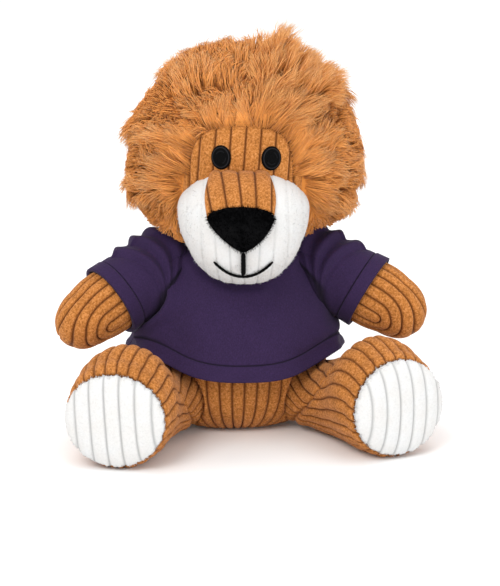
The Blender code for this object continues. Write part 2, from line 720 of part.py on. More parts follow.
def oval_pad(name, surface, centre, half_x, up, down, edge, height, powers, material, parent, place):
    """A pad on a surface: an oval outline whose outer side is domed over its low edge."""
    turn, share = grid(2 * math.pi * round_steps(PAD_AROUND), np.array(PAD_ROW_SHARES))
    power = np.where(np.sin(turn) > 0, *powers)
    x = centre[0] + share * half_x * signed_power(np.cos(turn), power)
    reach = np.where(np.sin(turn) > 0, up, down)
    z = centre[1] + share * reach * signed_power(np.sin(turn), power)
    dome = edge + (height - edge) * (1 - share**3)
    step = edge * STEP_SHARE
    outer = raised(surface, x, z, GAP + dome, step)
    inner = raised(surface, x, z, GAP, step)
    return shell(name, outer, inner, True, material, parent, place, pole=True)


def nose_top(x):
    """Height of the nose pad's upper edge, about the muzzle's middle."""
    left = np.maximum(1 - np.abs(x / NOSE_HALF_WIDTH) ** NOSE_TOP_POWER, 0)
    return NOSE_HEIGHT + NOSE_RISE * left ** (1 / NOSE_TOP_POWER)


def muzzle_tilt(z):
    """The upright angle of the muzzle's form at a height about its middle."""
    return np.arcsin(np.sign(z) * np.abs(z / MUZZLE_RISE) ** (MUZZLE_POWER / 2))


def build_bridge(brown, parent, place, head_space):
    """The panel from the forehead to the nose, which bows out over the muzzle."""
    side, run = grid(np.linspace(-1, 1, BRIDGE_COLUMNS), np.linspace(0, 1, BRIDGE_ROWS))
    x = side * BRIDGE_HALF_WIDTH * along(BRIDGE_WIDTH_SHARES, run)
    low = muzzle_tilt(nose_top(x) + BRIDGE_MARGIN)
    z = MUZZLE_RISE * signed_power(np.sin(low + (muzzle_tilt(BRIDGE_TOP) - low) * run), MUZZLE_POWER)
    outer = raised(muzzle_point, x, z, GAP + BRIDGE_THICKNESS, BRIDGE_THICKNESS * STEP_SHARE)
    inner = raised(muzzle_point, x, z, GAP, BRIDGE_THICKNESS * STEP_SHARE)
    made = shell("nose_bridge", outer, inner, False, brown, parent, place)
    cut(made, head_space)


def thread(name, points, radius, material, parent, place):
    """Satin stitching as a round cord with closed ends."""
    curve = bpy.data.curves.new(name, "CURVE")
    curve.dimensions = "3D"
    curve.bevel_depth = radius
    curve.bevel_resolution = 2
    curve.use_fill_caps = True
    line = curve.splines.new("POLY")
    line.points.add(len(points) - 1)
    for held, point in zip(line.points, points):
        held.co = (*point, 1.0)
    made = bpy.data.objects.new(name, curve)
    bpy.context.scene.collection.objects.link(made)
    made.parent = parent
    made.location = place
    curve.materials.append(material)


def build_mouth(black, parent, place):
    step = SMILE_RADIUS * STEP_SHARE
    top = NOSE_HEIGHT - NOSE_DROP - 2 * GAP
    bottom = top - PHILTRUM_LENGTH
    z = np.linspace(top, bottom + SMILE_RADIUS + GAP, PHILTRUM_POINTS)
    line = raised(muzzle_point, np.zeros_like(z), z, GAP + PHILTRUM_RADIUS, step)
    thread("philtrum_stitching", line, PHILTRUM_RADIUS, black, parent, place)
    x = np.linspace(-1, 1, MOUTH_POINTS)
    z = bottom - SMILE_RADIUS + SMILE_SAG * x**2
    line = raised(muzzle_point, x * SMILE_HALF_WIDTH, z, GAP + SMILE_RADIUS, step)
    thread("smile_stitching", line, SMILE_RADIUS, black, parent, place)


def mane_skin(u, v):
    """A hood about the face's axis: u runs round the face, v from the back to the front.

    Its outline swells into pointed locks, sharpest at its widest ring.
    """
    around, tilt = 2 * math.pi * u, math.pi * (v - 0.5)
    rim = signed_power(np.cos(tilt), MANE_POWER)
    lock = sum(
        share * (1 - 2 * np.abs(np.sin(count / 2 * around + MANE_LOCK_TWIST * tilt)))
        for count, share in MANE_LOCK_SHARES
    )
    radius = MANE_RADIUS * rim + MANE_LOCK_DEPTH / 2 * lock * rim**3
    depth = signed_power(np.sin(tilt), MANE_POWER)
    y = -np.where(depth < 0, MANE_BACK, MANE_FRONT) * depth
    return stacked(radius * np.cos(around), y, radius * np.sin(around))


def build_head(brown, tan, white, black):
    pivot = frame_at("neck_pivot", (0, 0, NECK_HEIGHT), HEAD_TURN_ANGLE)
    ball("neck", NECK_RADIUS, pivot, material=brown)
    socket = as_cutter(ball("neck_socket", NECK_RADIUS + GAP, pivot))
    middle = (HEAD_ASIDE, -HEAD_FORWARD, HEAD_RISE)
    snout = (middle[0], middle[1] - MUZZLE_FORWARD, middle[2] - MUZZLE_DROP)
    space = as_cutter(head_form("head_space", GAP, None, pivot, middle))
    collar_space = throat("collar_space", pivot, THROAT_RADIUS, 0)
    mane_hem = throat("mane_hem_space", pivot, MANE_HEM_RADIUS, MANE_HEM_LIFT)
    head = head_form("head", 0.0, brown, pivot, middle)
    cut(head, collar_space, socket)

    u, v = grid(round_steps(HEAD_AROUND), np.linspace(0, 1, HEAD_ROWS))
    depth = MUZZLE_DEPTH
    form = puff(u, v, MUZZLE_HALF_WIDTH, depth / 2, depth, MUZZLE_RISE, MUZZLE_CHIN, MUZZLE_POWER)
    muzzle = pouch("muzzle", form, white, pivot, snout)
    cut(muzzle, space, collar_space)
    grown = (MUZZLE_HALF_WIDTH + GAP, depth / 2 + GAP, depth + GAP, MUZZLE_RISE + GAP, MUZZLE_CHIN + GAP)
    muzzle_space = as_cutter(pouch("muzzle_space", puff(u, v, *grown, MUZZLE_POWER), None, pivot, snout))

    build_bridge(brown, pivot, snout, space)
    nose_powers = (NOSE_TOP_POWER, NOSE_TIP_POWER)
    nose_size = (NOSE_HALF_WIDTH, NOSE_RISE, NOSE_DROP, NOSE_EDGE, NOSE_THICKNESS)
    oval_pad("nose", muzzle_point, (0, NOSE_HEIGHT), *nose_size, nose_powers, black, pivot, snout)
    build_mouth(black, pivot, snout)
    eye_size = (EYE_HALF_WIDTH, EYE_HALF_HEIGHT, EYE_HALF_HEIGHT, EYE_EDGE, EYE_THICKNESS)
    for name, side in SIDES.items():
        place = (side * EYE_SPACING, EYE_HEIGHT)
        oval_pad("eye_" + name, head_point, place, *eye_size, (2.0, 2.0), black, pivot, middle)

    u, v = grid(round_steps(MANE_AROUND), np.linspace(0, 1, MANE_ROWS))
    crown = (middle[0], middle[1], middle[2] + MANE_LIFT)
    mane = pouch("mane", mane_skin(u, v), tan, pivot, crown)
    cut(mane, mane_hem, muzzle_space, space)
    return socket


def floor_cutter():
    """The table's space, which presses the lowest forms flat."""
    reach = TABLE_REACH_SHARE * TORSO_HALF_WIDTH
    corners = np.array([(x, y, z) for x in (-reach, reach) for y in (-reach, reach) for z in (-reach, 0)])
    faces = np.array(((0, 1, 3, 2), (4, 6, 7, 5), (0, 4, 5, 1), (2, 3, 7, 6), (0, 2, 6, 4), (1, 5, 7, 3)))
    return as_cutter(solid("table_space", corners, faces, None))


def main():
    clear_scene()
    brown = finish("brown_corduroy", BROWN, 0.9)
    tan = finish("mane_pile", TAN, 0.8)
    white = finish("white_corduroy", WHITE, 0.9)
    black = finish("black_stitching", BLACK, 0.7)
    purple = finish("purple_jersey", PURPLE, 0.85)
    floor = floor_cutter()
    neck_socket = build_head(brown, tan, white, black)
    armholes = [build_arm(name, side, brown, purple) for name, side in SIDES.items()]
    hips = [build_leg(name, side, brown, white, floor) for name, side in SIDES.items()]
    tail_root = build_tail(brown, tan, floor)
    torso = torso_form("torso", material=brown)
    cut(torso, floor, neck_socket, *armholes, *hips, tail_root)
    torso_space = as_cutter(torso_form("torso_space", GAP))
    build_shirt(purple, torso_space, armholes)


main()
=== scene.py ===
"""Dresses the seated plush lion: corduroy body, long-pile mane, stitched face and T-shirt.

Lengths are in metres, +Z is up and the toy faces -Y. Left and right are the toy's own. Every form
is a grid of points worked out from two parameters, u round it and v along it, or a profile
carried along a path.
"""

import math

import bpy
import numpy as np
from bpy.props import FloatProperty, FloatVectorProperty, IntProperty, PointerProperty
from bpy.types import Operator, Panel, PropertyGroup
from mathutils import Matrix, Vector


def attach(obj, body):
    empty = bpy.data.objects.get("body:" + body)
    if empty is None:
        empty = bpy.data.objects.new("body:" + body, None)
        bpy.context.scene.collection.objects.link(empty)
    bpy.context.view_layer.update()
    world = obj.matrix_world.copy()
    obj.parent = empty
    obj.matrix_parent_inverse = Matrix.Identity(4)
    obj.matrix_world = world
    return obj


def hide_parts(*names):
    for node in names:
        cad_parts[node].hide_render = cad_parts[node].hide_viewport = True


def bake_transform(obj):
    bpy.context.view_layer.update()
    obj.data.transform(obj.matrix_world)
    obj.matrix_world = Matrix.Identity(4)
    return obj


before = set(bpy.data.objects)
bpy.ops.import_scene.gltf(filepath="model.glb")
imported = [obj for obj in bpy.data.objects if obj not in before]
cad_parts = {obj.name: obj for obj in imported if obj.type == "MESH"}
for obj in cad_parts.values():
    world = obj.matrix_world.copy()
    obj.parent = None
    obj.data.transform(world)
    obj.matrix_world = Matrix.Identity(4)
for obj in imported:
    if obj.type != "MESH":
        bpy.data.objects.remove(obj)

bl_info = {
    "name": "Plush Lion",
    "version": (1, 0, 0),
    "blender": (4, 5, 0),
    "location": "View3D > Sidebar > Lion",
    "description": "Corduroy, pile, jersey and stitching of a seated plush lion",
    "category": "Object",
}

SIDES = {"right": -1.0, "left": 1.0}
GAP = 0.0003  # between a piece and the one that it lies on
PRESS = 0.0005  # how much of a form's underside the table flattens
TAU = 2 * math.pi
UP = np.array((0.0, 0.0, 1.0))
TOP, UNDER = 0.25, 0.75  # the u of a leg's top and underside
BACK, FRONT = 0.25, 0.75  # the u of an upright form's back and front

# Body sizes, as in the frame
TORSO_HEIGHT = 0.086
TORSO_HALF_WIDTH = 0.040
TORSO_HALF_DEPTH = 0.033
TORSO_POWERS = (2.3, 3.4, 3.0)
TORSO_TAPER = ((0.0, 1.0), (0.3, 1.0), (0.6, 0.93), (1.0, 0.86))
NECK = np.array((0.0, 0.0, 0.0855))
NECK_RADIUS = 0.015
HEAD_TURN = math.radians(-8)
HEAD_HALF = np.array((0.036, 0.036, 0.042))
HEAD_POWER = 2.15
HEAD_FORM = (*HEAD_HALF[[0, 1, 1]], HEAD_HALF[2], HEAD_HALF[2], HEAD_POWER)
HEAD_MIDDLE = np.array((0.0035, -0.006, 0.0305))
MUZZLE_MIDDLE = HEAD_MIDDLE + np.array((0.0, -0.022, -0.014))
MUZZLE_HALF_WIDTH = 0.029
MUZZLE_DEPTH = 0.033
MUZZLE_RISE = 0.018
MUZZLE_CHIN = 0.0325
MUZZLE_POWER = 2.4
MUZZLE_FORM = (
    MUZZLE_HALF_WIDTH, MUZZLE_DEPTH / 2, MUZZLE_DEPTH, MUZZLE_RISE, MUZZLE_CHIN, MUZZLE_POWER
)
NOSE_HALF_WIDTH, NOSE_RISE, NOSE_FALL, NOSE_LEVEL = 0.0132, 0.0050, 0.0134, 0.0008
THROAT_RADIUS = 0.0403
THROAT_RISE = 0.0061
SHOULDER = np.array((0.033, -0.004, 0.0735))
ARM_BALL, ARM_LENGTH, ARM_TIP, ARM_TIP_POWER = 0.013, 0.060, 0.018, 2.2
ARM_HALF = (0.0145, 0.0125)
ARM_DROP, ARM_FORWARD = math.radians(29), math.radians(25)
ARM_SWING = (math.radians(-8), math.radians(11), math.radians(30))
ARM_WIDTHS = ((0.0, 0.897), (0.35, 0.94), (0.6, 0.94), (0.85, 0.90), (1.0, 0.80))
ARM_THICKNESSES = ((0.0, 1.04), (0.35, 1.0), (0.6, 0.98), (0.85, 1.0), (1.0, 0.98))
HIP = np.array((0.027, -0.014, 0.0165))
LEG_BALL, LEG_LENGTH, LEG_TIP, LEG_TIP_POWER = 0.0145, 0.0655, 0.009, 3.6
FOOT_HALF = (0.0225, 0.0244)
LEG_HEADING, TOE_TURN = math.radians(30.5), math.radians(11.5)
LEG_SWING = (math.radians(-12), math.radians(4), math.radians(20))
FOOT_WIDTHS = (
    (0.0, 0.644), (0.22, 0.66), (0.42, 0.73), (0.62, 0.85), (0.8, 0.97), (0.92, 1.0), (1.0, 0.98)
)
FOOT_HEIGHTS = (
    (0.0, 0.595), (0.22, 0.61), (0.42, 0.70), (0.62, 0.84), (0.8, 0.99), (0.9, 1.0), (1.0, 0.92)
)
LEG_CLIMB = ((0.0, 0.0), (0.3, 0.06), (0.5, 0.5), (0.7, 1.0), (0.87, 0.85), (1.0, 0.6))
SOLE_START = 0.8333
TAIL_ROOT = np.array((0.0, 0.029, 0.011))
TAIL_BALL, TAIL_RADIUS, TAIL_LENGTH = 0.0055, 0.0045, 0.056
TAIL_BEND = math.radians(55)
TAIL_FALL = ((0, 0), (0.45, 1), (1, 1))
TUFT_LENGTH, TUFT_RADIUS, TUFT_OVERLAP = 0.026, 0.010, 0.005

# How far apart the ribs are
TORSO_PITCH, SIDE_PITCH, ARM_PITCH, LEG_PITCH = 0.0056, 0.0057, 0.0048, 0.0056
SOLE_PITCH, HEAD_PITCH, MUZZLE_PITCH, BRIDGE_PITCH = 0.0062, 0.00642, 0.0062, 0.0062
NECK_GATHERS, TAIL_WALES = 16, 5

# How many fibres and strands each pile starts from, and how many the mane has in one piece
SOLE_FIBRES, MUZZLE_FIBRES, NOSE_FIBRES, TUFT_STRANDS, MANE_PART = 1500, 5200, 4200, 2900, 12000

# What shows on the body and isn't in the frame
# GROOVE_WIDTH is the width of a groove's dip, GROOVE_SHADE that of the painted shade in it
GROOVE_WIDTH, GROOVE_SHADE = 0.00040, 0.00043
TORSO_SEAM = 0.0305
ARM_REACH = 0.0572  # shorter than the frame's arm, as in the photo
HAND_LOOP, HAND_LOOP_LEVEL = ARM_REACH - 0.0185, -0.0050
HAND_RADIUS, SEAM_RADIUS = 0.0142, 0.0135  # for distances round the arm
HAND_GROWTH = {-1.0: (0.0024, -0.0002), 1.0: (0.0036, 0.0)}
LEG_COLUMNS = 300
ANKLE_PLACE, ANKLE_SLANT = 0.021, 0.020
SOLE_TRIM = {-1.0: (0.036, 0.034), 1.0: (0.006, 0.036)}
HEAD_SLANT = math.radians(4.4)
OPENING_RISE, OPENING_FALL = 0.0214, 0.060
EYE_HALF_WIDTH, EYE_HALF_HEIGHT, EYE_ASIDE, EYE_LEVEL = 0.0041, 0.0050, 0.0104, 0.0094
EYE_STITCHES = 46
BRIDGE_HALF_WIDTH, BRIDGE_TOP = 0.0140, 0.0168
MOUTH_TOP = 0.0010 - NOSE_FALL - 2 * GAP
MOUTH_BOTTOM = MOUTH_TOP - 0.0108
PHILTRUM_RADIUS, SMILE_RADIUS, SMILE_HALF_WIDTH, SMILE_RISE = 0.0010, 0.0006, 0.012, 0.0068

# The mane: the radius, front and back of its backing and of its combed pile, and by how much
# the pile's outline goes past its own radius at bearings round the face
MANE_MIDDLE = HEAD_MIDDLE + np.array((0.0, 0.0, 0.0035))
HOOD_FORM = (0.0462, 0.0305, 0.0425)
PILE_FORM = (0.0515, 0.0325, 0.0465)
BOWL_POWER = 2.4
MANE_OUTLINE = (
    (-180, 0.94), (-166, 1.05), (-158, 0.93), (-141, 0.94), (-90, 0.98), (-60, 0.92), (-46, 0.80),
    (-33, 0.81), (-23, 1.03), (-13, 0.97), (-4, 1.02), (7, 0.97), (19, 0.99), (29, 0.95),
    (36, 1.03), (44, 1.11), (58, 1.08), (68, 1.11), (75, 1.18), (84, 1.01), (97, 0.97),
    (118, 1.01), (130, 1.03), (138, 0.89), (144, 0.91), (152, 0.97), (161, 1.06), (170, 0.93),
    (180, 0.94),
)
# The places along a strand of its four rings, and its width at the first three
STRAND_STEPS = np.array((0.0, 0.36, 0.70, 1.0))[None, :, None]
STRAND_TAPER = np.array((0.8, 1.0, 0.62))

# The shirt
CLOTH = 0.0013
SLEEVE_END = 0.0300
HEM_BAND = 0.0062
HEM_HEIGHTS = ((-1, 0.033), (0, 0.0335), (0.65, 0.0345), (1, 0.0276))
BAND_INNER, BAND_THICKNESS, BAND_FLAT = 0.0156, 0.0015, 0.0105
BAND_RIBS = 72
BAND_RUN = 0.86  # the share of the way down a panel or sleeve where its hem's stitching lies
ARMHOLE_RADIUS = 0.0195
# Each fold of the shirt: its height, its width and the line it follows, in millimetres
SHIRT_FOLDS = (
    (3.4, 2.4, (
        (-28, -15, 69), (-28, -18, 65.5), (-27.5, -20, 61.5), (-28.6, -20, 57.5),
        (-31, -19, 53), (-34, -15, 48), (-38, -8, 41.5),
    )),
    (-1.2, 1.6, (
        (-31, -15, 64), (-30.3, -17.4, 60.5), (-31.6, -17.2, 56), (-34, -15, 51.5),
        (-36.5, -10, 46.3),
    )),
    (1.6, 3.0, (
        (-23, -16, 75.5), (-19.5, -22.5, 70.5), (-12.3, -26.5, 66.5), (-4.8, -28.4, 64),
        (6, -28.5, 64),
    )),
    (3.0, 2.2, ((28, -15, 71), (29.5, -15.5, 66), (31.5, -15, 60.6), (34, -12.5, 56))),
    (1.5, 3.4, ((36.6, -6.5, 51.6), (37, -7, 47), (34, -17, 40))),
    (1.1, 2.0, ((28.8, -8, 74.5), (22.8, -16.5, 75.7), (19.8, -21, 73))),
    (-0.7, 4.0, ((-27.4, -23, 49), (-23.3, -26.4, 44.7))),
    (1.2, 3.6, ((20, -28, 41), (27.4, -24, 43), (37, -9, 43))),
)
# The sleeve's folds: how far each climbs towards the cuff, its height and its share of the way
SLEEVE_FOLDS = ((0.06, 0.0012, 0.045), (0.27, 0.0021, 0.055), (0.50, 0.0019, 0.055))

# The camera: the size of a pixel at the toy, the photo's middle and height in pixels, where the
# seat's centre lies in it, and the directions of the view
PIXEL = 0.00045
PHOTO_MIDDLE, PHOTO_HEIGHT, SEAT_PIXEL = (250, 293), 586, (236, 418)
SENSOR, CAMERA_DISTANCE = 36, 1.0
VIEW_RIGHT = np.array((0.990, -0.139, 0.0))
VIEW_UP = np.array((0.0313, 0.2228, 0.974))
VIEW_BACK = np.array((-0.1356, -0.9649, 0.2250))

# Each lamp's place, size, energy and colour
LAMPS = {
    "key": ((-0.75, -1.15, 1.25), 0.9, 12.5, (1.0, 0.985, 0.96)),
    "fill": ((0.9, -1.1, 0.28), 1.1, 5.0, (0.97, 0.985, 1.0)),
    "top": ((0.1, 0.35, 1.5), 1.0, 5.0, (1.0, 1.0, 1.0)),
}


# ---- Grids and meshes ----


def squared(value, power):
    """The sign of the value times its size to the power 2 / power, which squares off a sine."""
    return np.sign(value) * np.abs(value) ** (2.0 / power)


def read(table, place):
    """Values between the pairs (place, share) of a table, on cubics with smooth slopes."""
    at, value = np.array(table, float).T
    slope = np.gradient(value, at)
    place = np.clip(place, at[0], at[-1])
    i = np.clip(np.searchsorted(at, place) - 1, 0, len(at) - 2)
    span = at[i + 1] - at[i]
    s = (place - at[i]) / span
    start = (1 + 2 * s) * (1 - s) ** 2 * value[i] + s * (1 - s) ** 2 * span * slope[i]
    return start + s * s * (3 - 2 * s) * value[i + 1] + s * s * (s - 1) * span * slope[i + 1]


def smooth(value, low, high):
    """0 below low, 1 above high, and a smooth step between."""
    t = np.clip((value - low) / (high - low), 0, 1)
    return t * t * (3 - 2 * t)


def bell(value, width):
    """1 at nought, falling off on both sides as exp(-(value / width) squared)."""
    return np.exp(-((value / width) ** 2))


def stacked(x, y, z):
    return np.stack(np.broadcast_arrays(x, y, z), -1).astype(float)


def dot(a, b):
    return (a * b).sum(-1)


def unit(v):
    return v / np.maximum(np.linalg.norm(v, axis=-1, keepdims=True), 1e-12)


def ring_steps(count):
    return np.arange(count) / count


def run_along(points):
    """The distance from the first of a row of points to each one."""
    return np.concatenate([[0.0], np.cumsum(np.linalg.norm(np.diff(points, axis=0), axis=1))])


def even(curve, count):
    """Parameters from 0 to 1 whose points on a curve lie at equal distances."""
    t = np.linspace(0, 1, 6001)
    run = run_along(curve(t))
    return np.interp(np.linspace(0, run[-1], count), run, t)


def turned(points, angle, axis=2):
    """Points turned about an axis of the frame (1 is Y, 2 is Z) through the origin."""
    c, s = math.cos(angle), math.sin(angle)
    matrix = np.array(((c, -s, 0), (s, c, 0), (0, 0, 1)))
    if axis == 1:
        matrix = np.array(((c, 0, s), (0, 1, 0), (-s, 0, c)))
    return points @ matrix.T


def from_head(points):
    """Points of the head's own frame, put in place: turned about the neck and lifted onto it."""
    return turned(points, HEAD_TURN) + NECK


def lifted_to(points, low):
    """Points brought up to a level where they lie below it; the level 0 is the table."""
    points = points.copy()
    points[..., 2] = np.maximum(points[..., 2], low)
    return points


def swept(line, across, over, radius, turn):
    """Points on circles about a line, each in the plane of two directions."""
    aside = (radius * np.cos(turn))[..., None] * across
    return line + aside + (radius * np.sin(turn))[..., None] * over


def grid_normals(points, wrapped, about=None):
    """Unit normals of a grid, away from its middle: the cross product of its steps each way."""
    if wrapped:
        across = np.roll(points, -1, 1) - np.roll(points, 1, 1)
    else:
        across = np.gradient(points, axis=1)
    normal = unit(np.cross(across, np.gradient(points, axis=0)))
    if wrapped:
        for end, near in ((0, 1), (-1, -2)):
            if np.linalg.norm(points[end] - points[end, :1]) < 1e-6:
                normal[end] = unit(normal[near].mean(0))
    middle = points.mean((0, 1)) if about is None else about
    return -normal if dot(normal, points - middle).mean() < 0 else normal


def lifted(points, height, about=None):
    """Points of a wrapped grid moved along its normals by a height."""
    return points + grid_normals(points, True, about) * np.asarray(height)[..., None]


def surface_cross(surface, u, v, step):
    """The cross product of a surface's steps along each parameter."""
    across = surface(u + step, v) - surface(u - step, v)
    return np.cross(across, surface(u, v + step) - surface(u, v - step))


def raised(surface, x, z, height):
    """Points that stand off a face that is given over its upright plane."""
    normal = unit(surface_cross(surface, x, z, 0.0004))
    return surface(x, z) + normal * np.broadcast_to(height, normal.shape[:-1])[..., None]


def quads(rows, columns, wrapped):
    """Faces of a grid whose points are numbered row by row."""
    row = np.arange(rows - 1)[:, None]
    column = np.arange(columns if wrapped else columns - 1)[None, :]
    beside = (column + 1) % columns
    corners = (row * columns + column, row * columns + beside)
    upper = ((row + 1) * columns + beside, (row + 1) * columns + column)
    return np.stack(np.broadcast_arrays(*corners, *upper), -1).reshape(-1, 4)


def make(name, points, faces, fields=None, maps=None):
    """A mesh object at the origin from points and arrays of three- and four-sided faces."""
    mesh = bpy.data.meshes.new(name)
    corners = np.concatenate([f.ravel() for f in faces]).astype(np.int32)
    sizes = np.concatenate([np.full(len(f), f.shape[1]) for f in faces]).astype(np.int32)
    mesh.vertices.add(len(points))
    mesh.vertices.foreach_set("co", np.ascontiguousarray(points, np.float32).ravel())
    mesh.loops.add(len(corners))
    mesh.loops.foreach_set("vertex_index", corners)
    mesh.polygons.add(len(sizes))
    starts = np.concatenate([[0], np.cumsum(sizes)[:-1]]).astype(np.int32)
    mesh.polygons.foreach_set("loop_start", starts)
    mesh.polygons.foreach_set("loop_total", sizes)
    mesh.update(calc_edges=True)
    for field, values in (fields or {}).items():
        held = mesh.attributes.new(field, "FLOAT", "POINT")
        held.data.foreach_set("value", np.ascontiguousarray(values, np.float32).ravel())
    for label, values in (maps or {}).items():
        layer = mesh.uv_layers.new(name=label)
        layer.uv.foreach_set("vector", np.ascontiguousarray(values, np.float32).ravel())
    mesh.shade_smooth()
    made = bpy.data.objects.new(name, mesh)
    bpy.context.scene.collection.objects.link(made)
    return made


def outward(points, faces):
    """The faces, turned over if the volume that they close comes out negative."""
    volume = 0.0
    for f in faces:
        a = points[f[:, 0]]
        for i in range(1, f.shape[1] - 1):
            volume += dot(a, np.cross(points[f[:, i]], points[f[:, i + 1]])).sum()
    return [f[:, ::-1] for f in faces] if volume < 0 else faces


def closed_form(name, rings, **fields):
    """A closed skin through wrapped rings; the first and the last ring shrink to one point."""
    rows, columns = rings.shape[:2]
    inner = rings[1:-1].reshape(-1, 3)
    points = np.concatenate([inner, rings[:1].mean(1), rings[-1:].mean(1)])
    ring = np.arange(columns)
    beside = (ring + 1) % columns
    last = (rows - 3) * columns
    low = np.stack([np.full(columns, len(inner)), beside, ring], 1)
    high = np.stack([np.full(columns, len(inner) + 1), last + ring, last + beside], 1)
    faces = outward(points, [quads(rows - 2, columns, True), low, high])
    for field, values in fields.items():
        values = np.broadcast_to(values, rings.shape[:2])
        ends = [values[:1].mean(1), values[-1:].mean(1)]
        fields[field] = np.concatenate([values[1:-1].ravel(), *ends])
    return make(name, points, faces, fields)


def closed_cloth(name, outer, inner, wrapped, groove):
    """Cloth between two grids of points, closed along each free edge."""
    rows, columns = outer.shape[:2]
    count = rows * columns
    faces = [quads(rows, columns, wrapped), quads(rows, columns, wrapped)[:, ::-1] + count]
    number = np.arange(count).reshape(rows, columns)
    edges = [(number[0], wrapped, False), (number[-1], wrapped, True)]
    if not wrapped:
        edges += [(number[:, 0], False, True), (number[:, -1], False, False)]
    for edge, round_it, flip in edges:
        ends = np.append(edge, edge[0]) if round_it else edge
        rim = np.stack([ends[1:], ends[:-1], ends[:-1] + count, ends[1:] + count], 1)
        faces.append(rim[:, ::-1] if flip else rim)
    points = np.concatenate([outer.reshape(-1, 3), inner.reshape(-1, 3)])
    return make(name, points, outward(points, faces), {"groove": np.tile(groove.ravel(), 2)})


# ---- Materials ----


def shader_of(name, roughness, sheen, specular=0.2):
    """A material whose shader takes its gloss and sheen from its own sockets."""
    material = bpy.data.materials.new(name)
    material.use_nodes = True
    tree = material.node_tree
    shader = tree.nodes["Principled BSDF"]
    shader.inputs["Roughness"].default_value = roughness
    shader.inputs["Sheen Weight"].default_value = sheen
    shader.inputs["Sheen Roughness"].default_value = 0.45
    shader.inputs["Specular IOR Level"].default_value = specular
    return material, tree, shader


def noise_at(tree, scale, detail=2.0, roughness=0.6, stretch=None):
    """Noise on object coordinates, in cells a metre."""
    coord = tree.nodes.new("ShaderNodeTexCoord")
    noise = tree.nodes.new("ShaderNodeTexNoise")
    noise.inputs["Scale"].default_value = scale
    noise.inputs["Detail"].default_value = detail
    noise.inputs["Roughness"].default_value = roughness
    source = coord.outputs["Object"]
    if stretch:
        mapping = tree.nodes.new("ShaderNodeMapping")
        mapping.inputs["Scale"].default_value = stretch
        tree.links.new(source, mapping.inputs["Vector"])
        source = mapping.outputs["Vector"]
    tree.links.new(source, noise.inputs["Vector"])
    return noise.outputs["Fac"]


def field_at(tree, name):
    node = tree.nodes.new("ShaderNodeAttribute")
    node.attribute_name = name
    return node.outputs["Fac"]


def ramp_of(tree, source, *stops):
    """Colours at places along a value, each stop being (place, colour)."""
    node = tree.nodes.new("ShaderNodeValToRGB")
    tree.links.new(source, node.inputs["Fac"])
    held = node.color_ramp.elements
    while len(held) < len(stops):
        held.new(0.5)
    for element, (place, colour) in zip(held, stops):
        element.position = place
        element.color = (*colour, 1.0)
    return node.outputs["Color"]


def mixed(tree, share, first, second, kind="MIX"):
    """Two colours, mixed by a share."""
    node = tree.nodes.new("ShaderNodeMix")
    node.data_type = "RGBA"
    node.blend_type = kind
    for number, value in ((0, share), (6, first), (7, second)):
        socket = node.inputs[number]
        if isinstance(value, bpy.types.NodeSocket):
            tree.links.new(value, socket)
        else:
            socket.default_value = value if isinstance(value, float) else (*value, 1.0)
    return node.outputs[2]


def bumped(tree, shader, source, strength, distance):
    node = tree.nodes.new("ShaderNodeBump")
    node.inputs["Strength"].default_value = strength
    node.inputs["Distance"].default_value = distance
    tree.links.new(source, node.inputs["Height"])
    tree.links.new(node.outputs["Normal"], shader.inputs["Normal"])


def grey(share):
    return (share,) * 3


def scaled(colour, share):
    return tuple(min(1.0, c * share) for c in colour)


def cloth_finish(name, gloss, nap, fibre, patch, worn, groove, bump):
    """Cloth: a nap of three tones, worn darker in patches, with painted shade in its grooves,
    seams, creases and stitching.
    """
    material, tree, shader = shader_of(name, *gloss)
    nap = noise_at(tree, *nap)
    worn = ramp_of(tree, noise_at(tree, patch), *worn)
    body = mixed(tree, 1.0, ramp_of(tree, nap, *fibre), worn, "MULTIPLY")
    # The groove field mixes in the groove colour as painted shade
    colour_out = mixed(tree, field_at(tree, "groove"), body, groove)
    tree.links.new(colour_out, shader.inputs["Base Color"])
    bumped(tree, shader, nap, *bump)
    return material


def corduroy_finish(name, darker, colour, lighter, groove, patchy):
    """Corduroy: a speckled nap of short fibres, with painted shade that makes the grooves darker
    than the ribs.
    """
    fibre = (0.34, darker), (0.49, colour), (0.66, lighter)
    worn = (0.32, scaled((1.0, 0.98, 0.96), 1 - patchy)), (0.68, grey(1.0))
    nap = (1150.0, 3.0, 0.75)
    return cloth_finish(name, (0.95, 0.07), nap, fibre, 130.0, worn, groove, (0.65, 0.0004))


def jersey_finish(name, colour):
    """Fine jersey: rows of small loops, with a soft sheen where it turns away."""
    loops = (2300.0, 2.0, 0.6, (1.0, 1.0, 0.55))
    fibre = (0.30, scaled(colour, 0.80)), (0.52, colour), (0.74, scaled(colour, 1.28))
    worn = (0.3, grey(0.92)), (0.7, grey(1.0))
    # Painted shade: near black for the stitching, the hollow under each sleeve and between the
    # neckband's ribs
    groove = scaled(colour, 0.16)
    return cloth_finish(name, (0.92, 0.035), loops, fibre, 110.0, worn, groove, (0.5, 0.00025))


def pile_finish(name, root, middle, tip, sheen):
    """Long pile: darker at the roots, lighter at the tips, with each strand its own tone."""
    material, tree, shader = shader_of(name, 0.70, sheen, sheen)
    length = ramp_of(tree, field_at(tree, "share"), (0.0, root), (0.45, middle), (1.0, tip))
    tones = (0.0, (0.70, 0.64, 0.58)), (0.5, grey(0.96)), (1.0, (1.15, 1.2, 1.3))
    tone = ramp_of(tree, field_at(tree, "tone"), *tones)
    tree.links.new(mixed(tree, 1.0, length, tone, "MULTIPLY"), shader.inputs["Base Color"])
    return material


